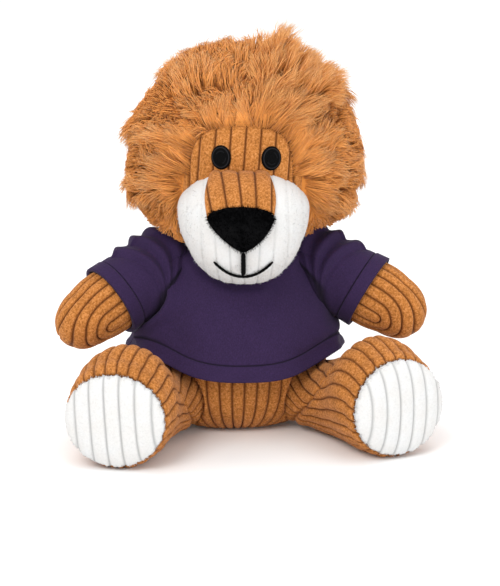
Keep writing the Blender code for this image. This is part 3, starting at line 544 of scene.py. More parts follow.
def thread_finish(name, colour):
    """Embroidery thread: fine fibres with a low sheen, a painted highlight where the field light is
    set, and painted shade between the stitches.
    """
    material, tree, shader = shader_of(name, 0.85, 0.0, 0.06)
    fibres = noise_at(tree, 2600.0)
    body = ramp_of(tree, fibres, (0.3, scaled(colour, 0.5)), (0.7, scaled(colour, 2.0)))
    # Painted highlight: the light field lifts the black towards grey
    body = mixed(tree, field_at(tree, "light"), body, scaled(colour, 14.0))
    # Painted shade between stitches and plies
    colour_out = mixed(tree, field_at(tree, "groove"), body, scaled(colour, 0.3))
    tree.links.new(colour_out, shader.inputs["Base Color"])
    bumped(tree, shader, fibres, 0.4, 0.0001)
    return material


def finish_named(name):
    """The finish of that name, made the first time that it is asked for."""
    held = bpy.data.materials.get(name)
    if held:
        return held
    tints = bpy.context.scene.lion_colours
    brown, white, black = tints.corduroy, tints.white, tints.black
    # Each groove colour here is painted shade for grooves, seams and stitching
    if name == "brown_corduroy_ribs":
        return corduroy_finish(
            name, scaled(brown, 0.5), brown, tints.corduroy_light, tints.groove, 0.17
        )
    if name == "white_corduroy_ribs":
        dark, light, groove = scaled(white, 0.93), scaled(white, 1.03), scaled(white, 0.55)
        return corduroy_finish(name, dark, white, light, groove, 0.02)
    if name == "purple_jersey_knit":
        return jersey_finish(name, tints.shirt)
    if name == "mane_strands":
        return pile_finish(name, tints.mane_root, tints.mane, tints.mane_tip, 0.12)
    if name == "white_fuzz":
        return pile_finish(name, white, white, white, 0.1)
    if name == "black_fuzz":
        return pile_finish(name, black, black, scaled(black, 1.5), 0.0)
    return thread_finish(name, black)


def dress(piece, finish, body, node=None):
    """Gives a piece its finish and slot and the body it moves with, and hides the part of the frame
    that it stands for.
    """
    piece.data.materials.append(finish_named(finish))
    if body:
        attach(piece, body)
    if node:
        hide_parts(node)


def stuffed(name, rings, finish, body, node, fill=None, **fields):
    """A closed skin through rings, dressed as a piece."""
    dress(closed_form(name, rings, **fields), finish, body, node)


# ---- Corduroy and strands of pile ----


def wales(phase, pitch):
    """Ribs of corduroy: their height over the skin, and how deep in a groove each point lies, a
    share that the finishes paint as shade.

    A whole phase is a groove. Each rib is a parabola across its pitch, and the groove a narrow
    bell that cuts between two ribs.
    """
    sizes = bpy.context.scene.lion_sizes
    off = np.abs(phase - np.round(phase))
    rib = sizes.rib_height * (1 - (1 - 2 * off) ** 2)
    height = rib - sizes.groove_depth * bell(off * pitch, GROOVE_WIDTH)
    # The second value is the groove's painted shade
    return height, bell(off * pitch, GROOVE_SHADE)


def sewn(height, groove, distance, depth=0.0011, width=0.0006):
    """The ribs with a seam drawn in at a distance from a line, and painted shade along the seam."""
    pull = bell(distance, width)
    return height * (1 - pull) - depth * pull, np.maximum(groove * (1 - 0.5 * pull), 0.9 * pull)


def strand_map(count):
    """A cell of the map for each strand: three strips for its sides and a corner for its root."""
    cells = math.ceil(math.sqrt(count))
    corner = np.stack([np.arange(count) % cells, np.arange(count) // cells], 1)[:, None, None]
    strips = [((k + 0.1) / 3.7, (k + 0.9) / 3.7) for k in range(3)]
    lift = (0.06, 0.42, 0.74, 0.96)
    sides = [
        [(a, lift[r]), (b, lift[r]), (b, lift[r + 1]), (a, lift[r + 1])]
        for r in (0, 1) for a, b in strips
    ]
    tips = [[(a, lift[2]), (b, lift[2]), ((a + b) / 2, lift[3])] for a, b in strips]
    tips.append([(0.84, 0.1), (0.96, 0.1), (0.9, 0.4)])
    parts = [(corner + np.array(part)[None]) / cells for part in (sides, tips)]
    return np.concatenate([part.reshape(-1, 2) for part in parts])


def strands(name, line, width, tone, finish, body):
    """Tapered three-sided strands along curves, each closed at its root and ending in a point.

    line holds four points a strand, and each strand has its own cell of the OFBake map.
    """
    count = len(line)
    tangent = unit(np.gradient(line, axis=1))
    ref = unit(np.random.default_rng(count).normal(size=(count, 1, 3)))
    side = unit(np.cross(tangent, ref))
    over = np.cross(side, tangent)
    turn = (np.arange(3) * TAU / 3)[:, None]
    spokes = side[:, :3, None] * np.cos(turn) + over[:, :3, None] * np.sin(turn)
    rings = line[:, :3, None] + spokes * (width[:, None] * STRAND_TAPER)[..., None, None]
    points = np.concatenate([rings.reshape(count, 9, 3), line[:, 3:]], 1).reshape(-1, 3)
    beside = [(k, (k + 1) % 3) for k in range(3)]
    sides = [(r + a, r + b, r + 3 + b, r + 3 + a) for r in (0, 3) for a, b in beside]
    tips = [(6 + a, 6 + b, 9) for a, b in beside] + [(2, 1, 0)]
    base = (np.arange(count) * 10)[:, None, None]
    faces = [(np.array(part)[None] + base).reshape(-1, len(part[0])) for part in (sides, tips)]
    share = np.tile(np.repeat((0.0, 0.34, 0.67, 1.0), (3, 3, 3, 1)), count)
    fields = {"share": share, "tone": np.repeat(tone, 10)}
    made = make(name, points, faces, fields, {"OFBake": strand_map(count)})
    dress(made, finish, body)


def bent(root, start, end, length):
    """Four points of each strand: a parabola that leaves along start and ends along end."""
    t = STRAND_STEPS
    step = start[:, None] * (t - t * t / 2) + end[:, None] * t * t / 2
    return root[:, None] + step * length[:, None, None]


def build_fuzz(name, root, out, lengths, body, rng):
    """Short stray fibres of white corduroy that leave their roots outwards at uneven angles."""
    count = len(root)
    start = unit(out + rng.normal(0, 0.5, root.shape))
    end = unit(out + rng.normal(0, 0.9, root.shape))
    line = lifted_to(bent(root, start, end, rng.uniform(*lengths, count)), 0.0002)
    width = rng.uniform(0.00006, 0.00010, count)
    strands(name, line, width, rng.random(count), "white_fuzz", body)


# ---- Limbs ----


def limb_profile(v, ball, length, tip, tip_power):
    """Distance along a limb and the share of its section, from the ball (v 0) to the tip (v 1)."""
    first = np.clip(v / 0.25, 0, 1) * math.pi / 2
    middle = np.clip((v - 0.25) / 0.5, 0, 1)
    last = np.clip((v - 0.75) / 0.25, 0, 1) * math.pi / 2
    place = -ball * np.cos(first) + (length - tip) * middle + tip * squared(np.sin(last), tip_power)
    return place, np.sin(first) * squared(np.cos(last), tip_power)


def ball_share(place, radius):
    """The share of its section that a limb keeps behind its hinge, where it ends in a ball."""
    return np.sqrt(np.maximum(1 - np.minimum(place, 0) ** 2 / radius**2, 1e-6))


def in_limb(place, offsets, halves, ball, length, margin):
    """Whether places and offsets lie in a limb's ball and shaft, grown by a margin."""
    share = ball_share(place, ball + margin)
    level = sum((off / ((half + margin) * share)) ** 2 for off, half in zip(offsets, halves))
    return (level < 1) & (place > -ball - margin) & (place < length)


def hip(side):
    return HIP * (side, 1, 1)


def shoulder(side):
    return SHOULDER * (side, 1, 1)


def leg_axes(side):
    """A leg's level directions as it leaves the hip: ahead along it, and aside across it."""
    heading = side * LEG_HEADING
    ahead = np.array((math.sin(heading), -math.cos(heading), 0))
    return ahead, np.array((math.cos(heading), math.sin(heading), 0))


def leg_line(side, run):
    """How far the leg's middle line bows aside and climbs, at a share of its length."""
    bow = side * TOE_TURN * run * (1 - run) * LEG_LENGTH
    return bow, (FOOT_HALF[1] - PRESS - HIP[2]) * read(LEG_CLIMB, run)


def leg_half(place):
    """Half the leg's width and height at a place."""
    middle = np.clip(place / (LEG_LENGTH - LEG_TIP), 0, 1)
    return FOOT_HALF[0] * read(FOOT_WIDTHS, middle), FOOT_HALF[1] * read(FOOT_HEIGHTS, middle)


def in_leg(side, points, margin):
    """Whether points lie in the leg's inner end at any spread of its hinge."""
    ahead, aside = leg_axes(side)
    inside = False
    for swing in LEG_SWING:
        q = turned(points - hip(side), -side * swing)
        place = dot(q, ahead)
        bow, climb = leg_line(side, np.clip(place / LEG_LENGTH, 0, 1))
        offsets = dot(q, aside) - bow, q[..., 2] - climb
        inside |= in_limb(place, offsets, leg_half(place), LEG_BALL, LEG_LENGTH, margin)
    return inside


def arm_axes(side):
    """An arm's directions: ahead along it, wide across it upwards, and thick across it."""
    level = np.array((side * math.cos(ARM_FORWARD), -math.sin(ARM_FORWARD), 0))
    ahead = level * math.cos(ARM_DROP) - UP * math.sin(ARM_DROP)
    thick = np.array((side * math.sin(ARM_FORWARD), math.cos(ARM_FORWARD), 0))
    wide = unit(np.cross(ahead, thick))
    return ahead, wide if wide[2] > 0 else -wide, thick


def arm_half(place, growth=0.0):
    """Half the arm's width and thickness at a place."""
    middle = np.clip(place / (ARM_LENGTH - ARM_TIP), 0, 1)
    wide = ARM_HALF[0] * read(ARM_WIDTHS, middle) + growth
    return wide, ARM_HALF[1] * read(ARM_THICKNESSES, middle)


def hand_growth(side, upward, place):
    """How much fuller the hand is than its solid, above and below its middle line."""
    above, below = HAND_GROWTH[side]
    return np.where(upward > 0, above, below) * smooth(place, 0.010, 0.044)


def in_arm(side, points, margin):
    """Whether points lie in the arm's inner end at any lift of its hinge."""
    ahead, wide, thick = arm_axes(side)
    inside = False
    for swing in ARM_SWING:
        q = turned(points - shoulder(side), side * swing, 1)
        place, offsets = dot(q, ahead), (dot(q, wide), dot(q, thick))
        inside |= in_limb(place, offsets, arm_half(place), ARM_BALL, ARM_LENGTH, margin)
    return inside


def leg_skin(side, u, v):
    """An oval section along a line that leaves the hip and turns forward towards the foot."""
    ahead, aside = leg_axes(side)
    place, share = limb_profile(v, LEG_BALL, LEG_LENGTH, LEG_TIP, LEG_TIP_POWER)
    run = np.clip(place / LEG_LENGTH, 0, None)
    turn = side * LEG_HEADING + side * TOE_TURN * (1 - 2 * run)
    bow, climb = leg_line(side, run)
    wide, tall = leg_half(place)
    line = place[..., None] * ahead + bow[..., None] * aside + climb[..., None] * UP
    across = stacked(np.cos(turn), np.sin(turn), 0)
    return swept(line, across * (wide / tall)[..., None], UP, tall * share, TAU * u)


def ankle_fold(points, side, u):
    """How far points lie beyond the slanting fold between thigh and foot."""
    return dot(points, leg_axes(side)[0]) - ANKLE_PLACE - ANKLE_SLANT * np.sin(TAU * u)


def leg_phase(side, points, u, radius):
    """Ribs that fan out along the foot, and slanting ones on the thigh behind the ankle's fold."""
    from_top = ((u - TOP) * side + 0.5) % 1.0 - 0.5
    place = dot(points, leg_axes(side)[0])
    wander = 0.07 * np.sin(210 * place + 3 * side) + 0.05 * np.sin(430 * place + 9 * u)
    foot = from_top * TAU * FOOT_HALF[0] / LEG_PITCH
    thigh = (from_top * TAU * radius - 0.75 * place) / LEG_PITCH
    return np.where(ankle_fold(points, side, u) > 0, foot, thigh) + wander


def sole_start(side, u):
    """The level at which the foot pad begins: later above and below, and uneven as a cut edge."""
    turn = TAU * u
    above, below = SOLE_TRIM[side]
    trim = np.where(np.sin(turn) > 0, above, below) * np.sin(turn) ** 2
    jags = ((0.0030, 23, 1), (0.0022, 41, 0), (0.0018, 67, 2))
    return SOLE_START + trim + sum(size * np.sin(waves * turn + at) for size, waves, at in jags)


def build_leg(name, side):
    """Ribs over thigh and foot, with a fold at the ankle, a seam beneath and the pad's edge."""
    v = even(lambda t: leg_skin(side, TOP, t), 250)
    hidden = v > SOLE_START + 0.06
    v = np.concatenate([v[~hidden], v[hidden][::-5][::-1]])
    u, v = np.meshgrid(ring_steps(LEG_COLUMNS), v)
    skin = leg_skin(side, u, v)
    radius = np.linalg.norm(skin - skin.mean(1, keepdims=True), axis=-1)
    height, groove = wales(leg_phase(side, skin, u, radius), LEG_PITCH)
    height, groove = sewn(height, groove, radius * np.abs(u - UNDER) * TAU)
    # A crease at the ankle with a low swell beyond it and painted shade in the crease, and the
    # sunken edge of the foot pad with painted shade along it
    fold = ankle_fold(skin, side, u)
    height = height - 0.0011 * bell(fold, 0.0016) + 0.0006 * bell(fold - 0.004, 0.003)
    groove = np.maximum(groove, 0.45 * bell(fold, 0.0009))
    rim = v - sole_start(side, u)
    height, groove = sewn(height, groove, np.abs(rim) * 0.05, 0.0006, 0.0006)
    height = np.where(rim > 0, np.minimum(height, 0.0) - 0.0002, height)
    points = lifted_to(lifted(skin, height) + hip(side), 0.0)
    leg = "leg_" + name
    stuffed(leg + "_body", points, "brown_corduroy_ribs", leg, leg, 0.9, groove=groove)


def build_sole(name, side):
    """The foot's white pad: the foot's blunt end raised by the pad, with upright ribs across it."""
    level = even(lambda t: leg_skin(side, TOP, SOLE_START + t * (1 - SOLE_START)), 52)
    u, share = np.meshgrid(ring_steps(LEG_COLUMNS), level)
    first = sole_start(side, u)
    skin = leg_skin(side, u, first + share * (1 - first))
    ahead, aside = leg_axes(side)
    local = skin - leg_skin(side, 0.0, 0.99)
    climb = local[..., 2] / 0.02
    drift = -0.0012 * climb if side < 0 else 0.0018 * (1 - climb**2)
    height, groove = wales((dot(local, aside) - drift) / SOLE_PITCH + 0.25, SOLE_PITCH)
    thick = 0.0016 + 0.0012 * np.sqrt(share)
    edge = smooth(share, 0.0, 0.09)
    behind = skin.mean((0, 1)) - 0.03 * ahead
    outer = lifted(skin, GAP + thick * (0.35 + 0.65 * edge) + height * 0.6 * edge, behind)
    inner = lifted(skin, np.full(share.shape, GAP), behind)[::3]
    outer, inner = (lifted_to(points + hip(side), 0.0) for points in (outer, inner))
    groove = np.concatenate([groove[::-1] * 0.8, groove[::3] * 0])
    rings = np.concatenate([outer[::-1], inner])
    leg, sole = "leg_" + name, "sole_" + name
    stuffed(sole + "_pad", rings, "white_corduroy_ribs", leg, sole, 0.4, groove=groove)
    rng = np.random.default_rng(31)
    rim, row = rng.integers(0, LEG_COLUMNS, SOLE_FIBRES), rng.integers(0, 5, SOLE_FIBRES)
    out = unit(outer[0, rim] - outer[6, rim])
    build_fuzz(sole + "_fuzz", outer[row, rim], out, (0.0005, 0.0013), leg, rng)


def arm_point(side, around, place, tall, deep):
    """A point of an arm's section at an angle round it, about the shoulder."""
    ahead, wide, thick = arm_axes(side)
    points = np.asarray(place)[..., None] * ahead + (tall * np.sin(around))[..., None] * wide
    return points - (deep * np.cos(around))[..., None] * thick


def arm_skin(side, u, v):
    """The arm's oval section about the shoulder, fuller at the hand."""
    place, share = limb_profile(v, ARM_BALL, ARM_REACH, ARM_TIP, ARM_TIP_POWER)
    around = -TAU * u * side
    tall, deep = arm_half(place, hand_growth(side, np.sin(around), place))
    return arm_point(side, around, place, tall * share, deep * share)


def build_arm(name, side):
    """Ribs run down the arm and turn back round a loop in the hand, like nested letters U."""
    v = even(lambda t: arm_skin(side, 0.25, t), 300)
    form = ARM_BALL, ARM_REACH, ARM_TIP, ARM_TIP_POWER
    visible = limb_profile(v, *form)[0] > 0.022
    v = np.concatenate([v[~visible][::4], v[visible]])
    u, v = np.meshgrid(ring_steps(240), v)
    place, share = limb_profile(v, *form)
    angle = (-TAU * u * side + math.pi) % TAU - math.pi
    over = angle * share * HAND_RADIUS
    distance = np.hypot(np.maximum(place - HAND_LOOP, 0), over - HAND_LOOP_LEVEL)
    height, groove = wales(distance / ARM_PITCH + 0.35, ARM_PITCH)
    height, groove = sewn(height, groove, (math.pi - np.abs(angle)) * SEAM_RADIUS * share)
    points = lifted(arm_skin(side, u, v), height) + shoulder(side)
    arm = "arm_" + name
    stuffed(arm + "_body", points, "brown_corduroy_ribs", arm, arm, 0.9, groove=groove)


# ---- Torso and neck ----


def torso_skin(u, v):
    """A squared-off oval in plan, whose half sizes follow a taper and close at seat and top."""
    power, seat, top = TORSO_POWERS
    around, tilt = TAU * u, math.pi * (v - 0.5)
    end = np.where(tilt < 0, seat, top)
    rise = squared(np.sin(tilt), end)
    half = (TORSO_HEIGHT + PRESS) / 2
    rim = squared(np.cos(tilt), end) * read(TORSO_TAPER, (rise + 1) / 2)
    x = TORSO_HALF_WIDTH * squared(np.cos(around), power)
    y = TORSO_HALF_DEPTH * squared(np.sin(around), power)
    return stacked(x * rim, y * rim, half * (1 + rise) - PRESS)


def torso_level(height):
    """The v at which the torso's skin reaches a height."""
    half = (TORSO_HEIGHT + PRESS) / 2
    rise = np.clip((height + PRESS) / half - 1, -1, 1)
    power = np.where(rise < 0, *TORSO_POWERS[1:])
    return np.arcsin(np.sign(rise) * np.abs(rise) ** (power / 2)) / math.pi + 0.5


def torso_reach(points, grow):
    """How far points stand out of the torso grown by some cloth: 0 on it, negative inside."""
    half = (TORSO_HEIGHT + PRESS) / 2
    rise = (points[..., 2] + PRESS - half) / (half + grow)
    end = np.where(rise < 0, *TORSO_POWERS[1:])
    taper = read(TORSO_TAPER, (np.clip(rise, -1, 1) + 1) / 2)
    rim = np.maximum(1 - np.abs(rise) ** end, 1e-9) ** (1 / end) * taper
    x = np.abs(points[..., 0]) / ((TORSO_HALF_WIDTH + grow) * rim)
    y = np.abs(points[..., 1]) / ((TORSO_HALF_DEPTH + grow) * rim)
    power = TORSO_POWERS[0]
    return np.where(np.abs(rise) >= 1, 1.0, (x**power + y**power) ** (1 / power) - 1)


def hollowed(points):
    """Moves the torso's points inwards, level and to its axis, out of the limbs and the neck."""
    shape = points.shape
    points = points.reshape(-1, 3).copy()
    todo = np.arange(len(points))
    for _ in range(46):
        p = points[todo]
        inside = np.linalg.norm(p - NECK, axis=-1) < NECK_RADIUS + GAP
        for side in SIDES.values():
            inside |= in_leg(side, p, 0.0005) | in_arm(side, p, 0.0007)
        inside |= np.linalg.norm(p - TAIL_ROOT, axis=-1) < TAIL_BALL + GAP
        todo = todo[inside]
        if not len(todo):
            break
        core = points[todo] * (0.25, 0.2, 0) + UP * np.clip(points[todo, 2:], 0.030, 0.060)
        toward = core - points[todo]
        far = np.maximum(np.linalg.norm(toward, axis=-1, keepdims=True), 1e-9)
        points[todo] += toward * np.minimum(1, 0.0008 / far)
    return points.reshape(shape)


def build_torso():
    """Ribs run up the torso, counted by the distance round it, with a seam beside each side."""
    u = even(lambda t: torso_skin(t, 0.45), 541)[:-1]
    u, v = np.meshgrid(u, even(lambda t: torso_skin(FRONT, t), 84))
    fine = np.linspace(0, 1, 4001)
    run = run_along(torso_skin(fine, 0.45))
    arc = np.interp(u, fine, run) - np.interp(FRONT, fine, run)
    arc = (arc + run[-1] / 2) % run[-1] - run[-1] / 2
    beyond = np.abs(arc) - TORSO_SEAM
    phase = np.where(beyond < 0, (arc + 0.0005) / TORSO_PITCH, beyond / SIDE_PITCH)
    height, groove = wales(phase, TORSO_PITCH)
    seams = np.minimum(np.abs(beyond), run[-1] / 2 - np.abs(arc))
    height, groove = sewn(height * 1.15, groove, seams)
    points = hollowed(lifted(torso_skin(u, v), height * smooth(v, 0.02, 0.12)))
    points = lifted_to(points, 0.0)
    stuffed("torso_body", points, "brown_corduroy_ribs", "torso", "torso", 0.85, groove=groove)


def build_neck():
    """The short stuffed seam between body and head: a ball with narrow gathers."""
    u, v = np.meshgrid(ring_steps(96), np.linspace(0, 1, 60))
    height, groove = wales(u * NECK_GATHERS, TAU * NECK_RADIUS / NECK_GATHERS)
    fade = np.sin(math.pi * v)
    points = lifted(puff(u, v, *[NECK_RADIUS] * 5, 2.0), np.minimum(height * fade, 0) - 0.0001)
    points, groove = from_head(points), groove * fade
    stuffed("neck_seam", points, "brown_corduroy_ribs", "neck", "neck", 0.9, groove=groove)


# ---- Head and face ----


def puff(u, v, half_x, half_y, front_y, up, down, power):
    """A squared-off ellipsoid with unlike depths and heights, u round its upright axis."""
    around, tilt = TAU * u, math.pi * (v - 0.5)
    rim = squared(np.cos(tilt), power)
    forward = squared(np.sin(around), power)
    rise = squared(np.sin(tilt), power)
    y = np.where(forward < 0, front_y, half_y) * forward * rim
    x = half_x * squared(np.cos(around), power) * rim
    return stacked(x, y, np.where(rise < 0, down, up) * rise)


def puff_grid(count, rows, form):
    """A grid on such a form, closer together about its front and with even rows."""
    t = np.linspace(0, 1, 4001)
    weight = 0.45 + bell(t - FRONT, 0.17) * 2.0
    run = np.concatenate([[0], np.cumsum((weight[1:] + weight[:-1]) / 2)])
    u = np.interp(ring_steps(count) * run[-1], run, t)
    return puff(*np.meshgrid(u, even(lambda t: puff(FRONT, t, *form), rows)), *form)


def over_throat(points):
    """Lifts points of the head's frame out of the space over the collar and the shoulders."""
    radius = np.linalg.norm(points[..., :2], axis=-1)
    dip = 0.030 * smooth(radius, THROAT_RADIUS, THROAT_RADIUS + 0.004)
    return lifted_to(points, THROAT_RISE - dip)


def front_of(x, z, wide, depth, tall, power):
    """The front of a squared-off ellipsoid over a point of its upright plane."""
    left = 1 - np.abs(x / wide) ** power - np.abs(z / tall) ** power
    return stacked(x, -depth * np.maximum(left, 0) ** (1 / power), z)


def head_point(x, z):
    """The front of the head about its middle."""
    return front_of(x, z, *HEAD_HALF, HEAD_POWER)


def muzzle_taper(z):
    """The share of its width that the muzzle keeps at a height: less towards brow and chin."""
    return 0.965 - 0.085 * smooth(-z, 0.0, 0.026) - 0.12 * smooth(z, 0.0, 0.018)


def muzzle_point(x, z):
    """The front of the muzzle about its middle."""
    tall = np.where(z < 0, MUZZLE_CHIN, MUZZLE_RISE)
    return front_of(x, z, MUZZLE_HALF_WIDTH * muzzle_taper(z), MUZZLE_DEPTH, tall, MUZZLE_POWER)


def oval_level(points, aside, half_width, power):
    """How far out points of the head's frame lie in a squared-off oval about the face: 1 on it."""
    q = points - HEAD_MIDDLE
    tall = np.where(q[..., 2] > 0, OPENING_RISE, OPENING_FALL)
    wide = np.abs((q[..., 0] + aside) / half_width) ** power
    return (wide + np.abs(q[..., 2] / tall) ** power) ** (1 / power)


def opening_level(points):
    """How far out points lie in the face's opening."""
    return oval_level(points, 0.0008, 0.0212, 3.2)


def face_distance(points):
    """Roughly how far points of the head's frame lie outside the face, in metres."""
    level = oval_level(points, 0.0010, 0.0245, 3.0)
    return np.maximum(level - 1, 0) * 0.023 + np.maximum(points[..., 1] + 0.026, 0)


def on_muzzle(x, z, height):
    """Points that stand off the muzzle, in the head's frame."""
    return raised(muzzle_point, x, z, height) + MUZZLE_MIDDLE


def build_skull():
    """The head's stuffed form: upright ribs, a little aslant, and a seam round the forehead with
    painted shade along it.
    """
    skin = puff_grid(420, 100, HEAD_FORM)
    slant = (skin[..., 2] - 0.022) * math.tan(HEAD_SLANT)
    height, groove = wales((skin[..., 0] - 0.00145 - slant) / HEAD_PITCH, HEAD_PITCH)
    rim = (opening_level(skin + HEAD_MIDDLE) - 1.04) * 0.0213
    rim = np.where(skin[..., 1] < 0, rim, 1.0)
    height, groove = sewn(height, groove, rim, 0.0007, 0.0005)
    points = from_head(over_throat(lifted(skin, height * 0.8) + HEAD_MIDDLE))
    stuffed("head_body", points, "brown_corduroy_ribs", "head", "head", 0.9, groove=groove)


def build_muzzle():
    """White cheeks and chin in one form, whose ribs lean with its outline."""
    skin = puff_grid(360, 110, MUZZLE_FORM)
    skin[..., 0] *= muzzle_taper(skin[..., 2])
    lean = 1 - 0.16 * (np.clip(skin[..., 2] + 0.004, -0.03, 0.02) / 0.026) ** 2
    height, groove = wales((skin[..., 0] / lean - 0.00065) / MUZZLE_PITCH, MUZZLE_PITCH)
    points = over_throat(lifted(skin, height * 0.30) + MUZZLE_MIDDLE)
    # The grooves' painted shade is faint, and stronger low in the middle of the muzzle
    middle = bell(skin[..., 0], 0.017) * smooth(-skin[..., 2], 0.004, 0.012)
    rings, groove = from_head(points), groove * (0.10 + 0.38 * middle)
    stuffed("muzzle_cheeks", rings, "white_corduroy_ribs", "head", "muzzle", 0.9, groove=groove)
    rng = np.random.default_rng(41)
    row, column = rng.integers(8, 102, MUZZLE_FIBRES), rng.integers(0, 360, MUZZLE_FIBRES)
    out = grid_normals(points, True)[row, column]
    kept = (out[:, 1] < 0.2) & ((np.abs(out[:, 0]) > 0.6) | (out[:, 2] < -0.5))
    root = from_head(points[row, column][kept])
    out = turned(out[kept] - 0.3 * UP, HEAD_TURN)
    build_fuzz("muzzle_fuzz", root, out, (0.0004, 0.0010), "head", rng)


def muzzle_tilt(z):
    """The angle up the muzzle's form at which it reaches a height over its middle."""
    return np.arcsin(np.sign(z) * np.abs(z / MUZZLE_RISE) ** (MUZZLE_POWER / 2))


def build_bridge():
    """The brown panel from forehead to nose: the muzzle's face raised, with ribs that fan out."""
    side, run = np.meshgrid(np.linspace(-1, 1, 130), np.linspace(0, 1, 50))
    widths = ((0, 0.97), (0.3, 1.03), (1, 0.82))
    x = side * BRIDGE_HALF_WIDTH * read(widths, run) - 0.0010 - 0.0006 * run
    # From the nose's upper edge to the forehead, in even steps of the muzzle's tilt
    left = np.maximum(1 - np.abs(x / NOSE_HALF_WIDTH) ** 2.1, 0)
    low = muzzle_tilt(NOSE_LEVEL + NOSE_RISE * left ** (1 / 2.1) - 0.0004)
    tilt = low + (muzzle_tilt(BRIDGE_TOP) - low) * run
    z = MUZZLE_RISE * squared(np.sin(tilt), MUZZLE_POWER)
    height, groove = wales((x + 0.0005 + 0.00193 * run) / (0.0058 + 0.00115 * run), BRIDGE_PITCH)
    edge = np.minimum(1 - np.abs(side), 0.2) / 0.2
    soft = np.sqrt(np.clip(1 - (1 - edge) ** 2, 0, 1)) * (1 - 0.75 * smooth(run, 0.80, 1.0))
    thick = GAP + 0.0005 + 0.0013 * soft + height * 0.8 * smooth(edge, 0.2, 0.8)
    outer, inner = (from_head(on_muzzle(x, z, off)) for off in (thick, GAP))
    piece = closed_cloth("nose_bridge_panel", outer, inner, False, groove)
    dress(piece, "brown_corduroy_ribs", "head", "nose_bridge")


def oval_grid(columns, rows, half_x, up, down, powers):
    """Points of an oval's plane: share of the way out, and its outline as a squared-off oval."""
    turn, share = np.meshgrid(TAU * ring_steps(columns), np.linspace(0, 1, rows) ** 0.8)
    power = np.where(np.sin(turn) > 0, *powers)
    x = share * half_x * squared(np.cos(turn), power)
    z = share * np.where(np.sin(turn) > 0, up, down) * squared(np.sin(turn), power)
    return turn, share, x, z


def build_patch(name, node, outer, inner, groove, fill=None, light=0.0):
    """A patch of black thread on the face, closed between its outer and its inner grid, with a
    painted highlight on the outer grid where light is set.
    """
    rings = np.concatenate([from_head(outer), from_head(inner)[::-1]])
    groove = np.concatenate([groove, groove])
    # light is a painted highlight, set on the outer grid only
    light = np.concatenate([light + 0 * groove[: len(outer)], 0 * groove[: len(outer)]])
    stuffed(name, rings, "black_thread", "head", node, fill, groove=groove, light=light)


def build_eye(name, side):
    """A satin-stitched oval: rows of thread across it with painted shade between them, and a raised
    ring near its edge with a painted highlight on it and on arcs of an inner ring.
    """
    turn, share, x, z = oval_grid(
        184, 26, EYE_HALF_WIDTH, EYE_HALF_HEIGHT, EYE_HALF_HEIGHT, (2.0, 2.0)
    )
    ring = 0.00035 * bell(share - 0.80, 0.085) + 0.00016 * bell(share - 0.45, 0.06)
    stitch = np.sin(turn * EYE_STITCHES + 7 * share)
    dome = 0.0003 + 0.0010 * (1 - share**4)
    height = GAP + dome + ring + 0.00005 * stitch * smooth(share, 0.15, 0.5)
    x, z = x + side * EYE_ASIDE + 0.0012, z + EYE_LEVEL - 0.0005 * (side > 0)
    outer, inner = (raised(head_point, x, z, off) + HEAD_MIDDLE for off in (height, GAP * 0.5))
    # Painted highlight: a light line on the raised ring and light arcs on parts of an inner ring
    part = np.sin(turn * 1.5 + side) > 0.3
    light = bell(share - 0.80, 0.035) + 0.5 * bell(share - 0.5, 0.03) * part
    groove = np.clip(0.5 - 0.5 * stitch, 0, 1) * 0.5
    eye = "eye_" + name
    build_patch(eye + "_stitching", eye, outer, inner, groove, light=light)


def build_nose():
    """A domed triangular pad of short black pile with a soft edge."""
    outline = (2.1, 1.38)
    _, share, x, z = oval_grid(150, 34, NOSE_HALF_WIDTH, NOSE_RISE, NOSE_FALL, outline)
    z = z + NOSE_LEVEL
    x = x - 0.0010 * smooth(z, -0.010, 0.002)
    height = GAP + 0.0012 + 0.0033 * np.sqrt(np.clip(1 - share**2.4, 0, 1))
    outer, inner = (on_muzzle(x, z, off) for off in (height, GAP))
    build_patch("nose_pad", "nose", outer, inner, share * 0, fill=0.7)
    rng = np.random.default_rng(11)
    pick = rng.integers(0, share.size, NOSE_FIBRES)
    pick = pick[rng.random(NOSE_FIBRES) < share.ravel()[pick] + 0.05]
    x, z, share = (values.ravel()[pick] for values in (x, z, share))
    root = outer.reshape(-1, 3)[pick]
    away = unit(outer - inner).reshape(-1, 3)[pick]
    out = stacked(x / NOSE_HALF_WIDTH, 0, z / 0.012)
    edge = smooth(share, 0.75, 1.0)[:, None]
    start = unit(away + out * edge * 0.8 + rng.normal(0, 0.35, root.shape))
    end = unit(away * 0.5 + out * (0.3 + edge) + rng.normal(0, 0.45, root.shape) - UP * 0.2)
    line = from_head(bent(root, start, end, rng.uniform(0.0009, 0.0017, len(root))))
    width = np.full(len(root), 0.00009)
    strands("nose_pile", line, width, rng.random(len(root)), "black_fuzz", "head")


def build_thread(name, path, radius, twists, node):
    """A twisted thread: a round section along a path, with slanting plies wound round it."""
    t = np.linspace(0, 1, 240)
    run = run_along(path)
    line = np.stack([np.interp(t * run[-1], run, path[:, i]) for i in range(3)], 1)
    tangent = unit(np.gradient(line, axis=0))
    side = unit(np.cross(tangent, np.array((0.0, 1.0, 0.0))))
    u, row = np.meshgrid(ring_steps(20), t)
    ply = np.cos(TAU * u * 2 + TAU * twists * row)
    ends = np.sqrt(np.clip(1 - (2 * np.abs(row - 0.5)) ** 24, 0, 1))
    reach = radius * (0.94 + 0.12 * ply) * ends
    points = swept(line[:, None], side[:, None], np.cross(side, tangent)[:, None], reach, TAU * u)
    rings = from_head(points)
    # Painted shade between the plies
    stuffed(name, rings, "black_thread", "head", node, groove=0.5 - 0.5 * ply)


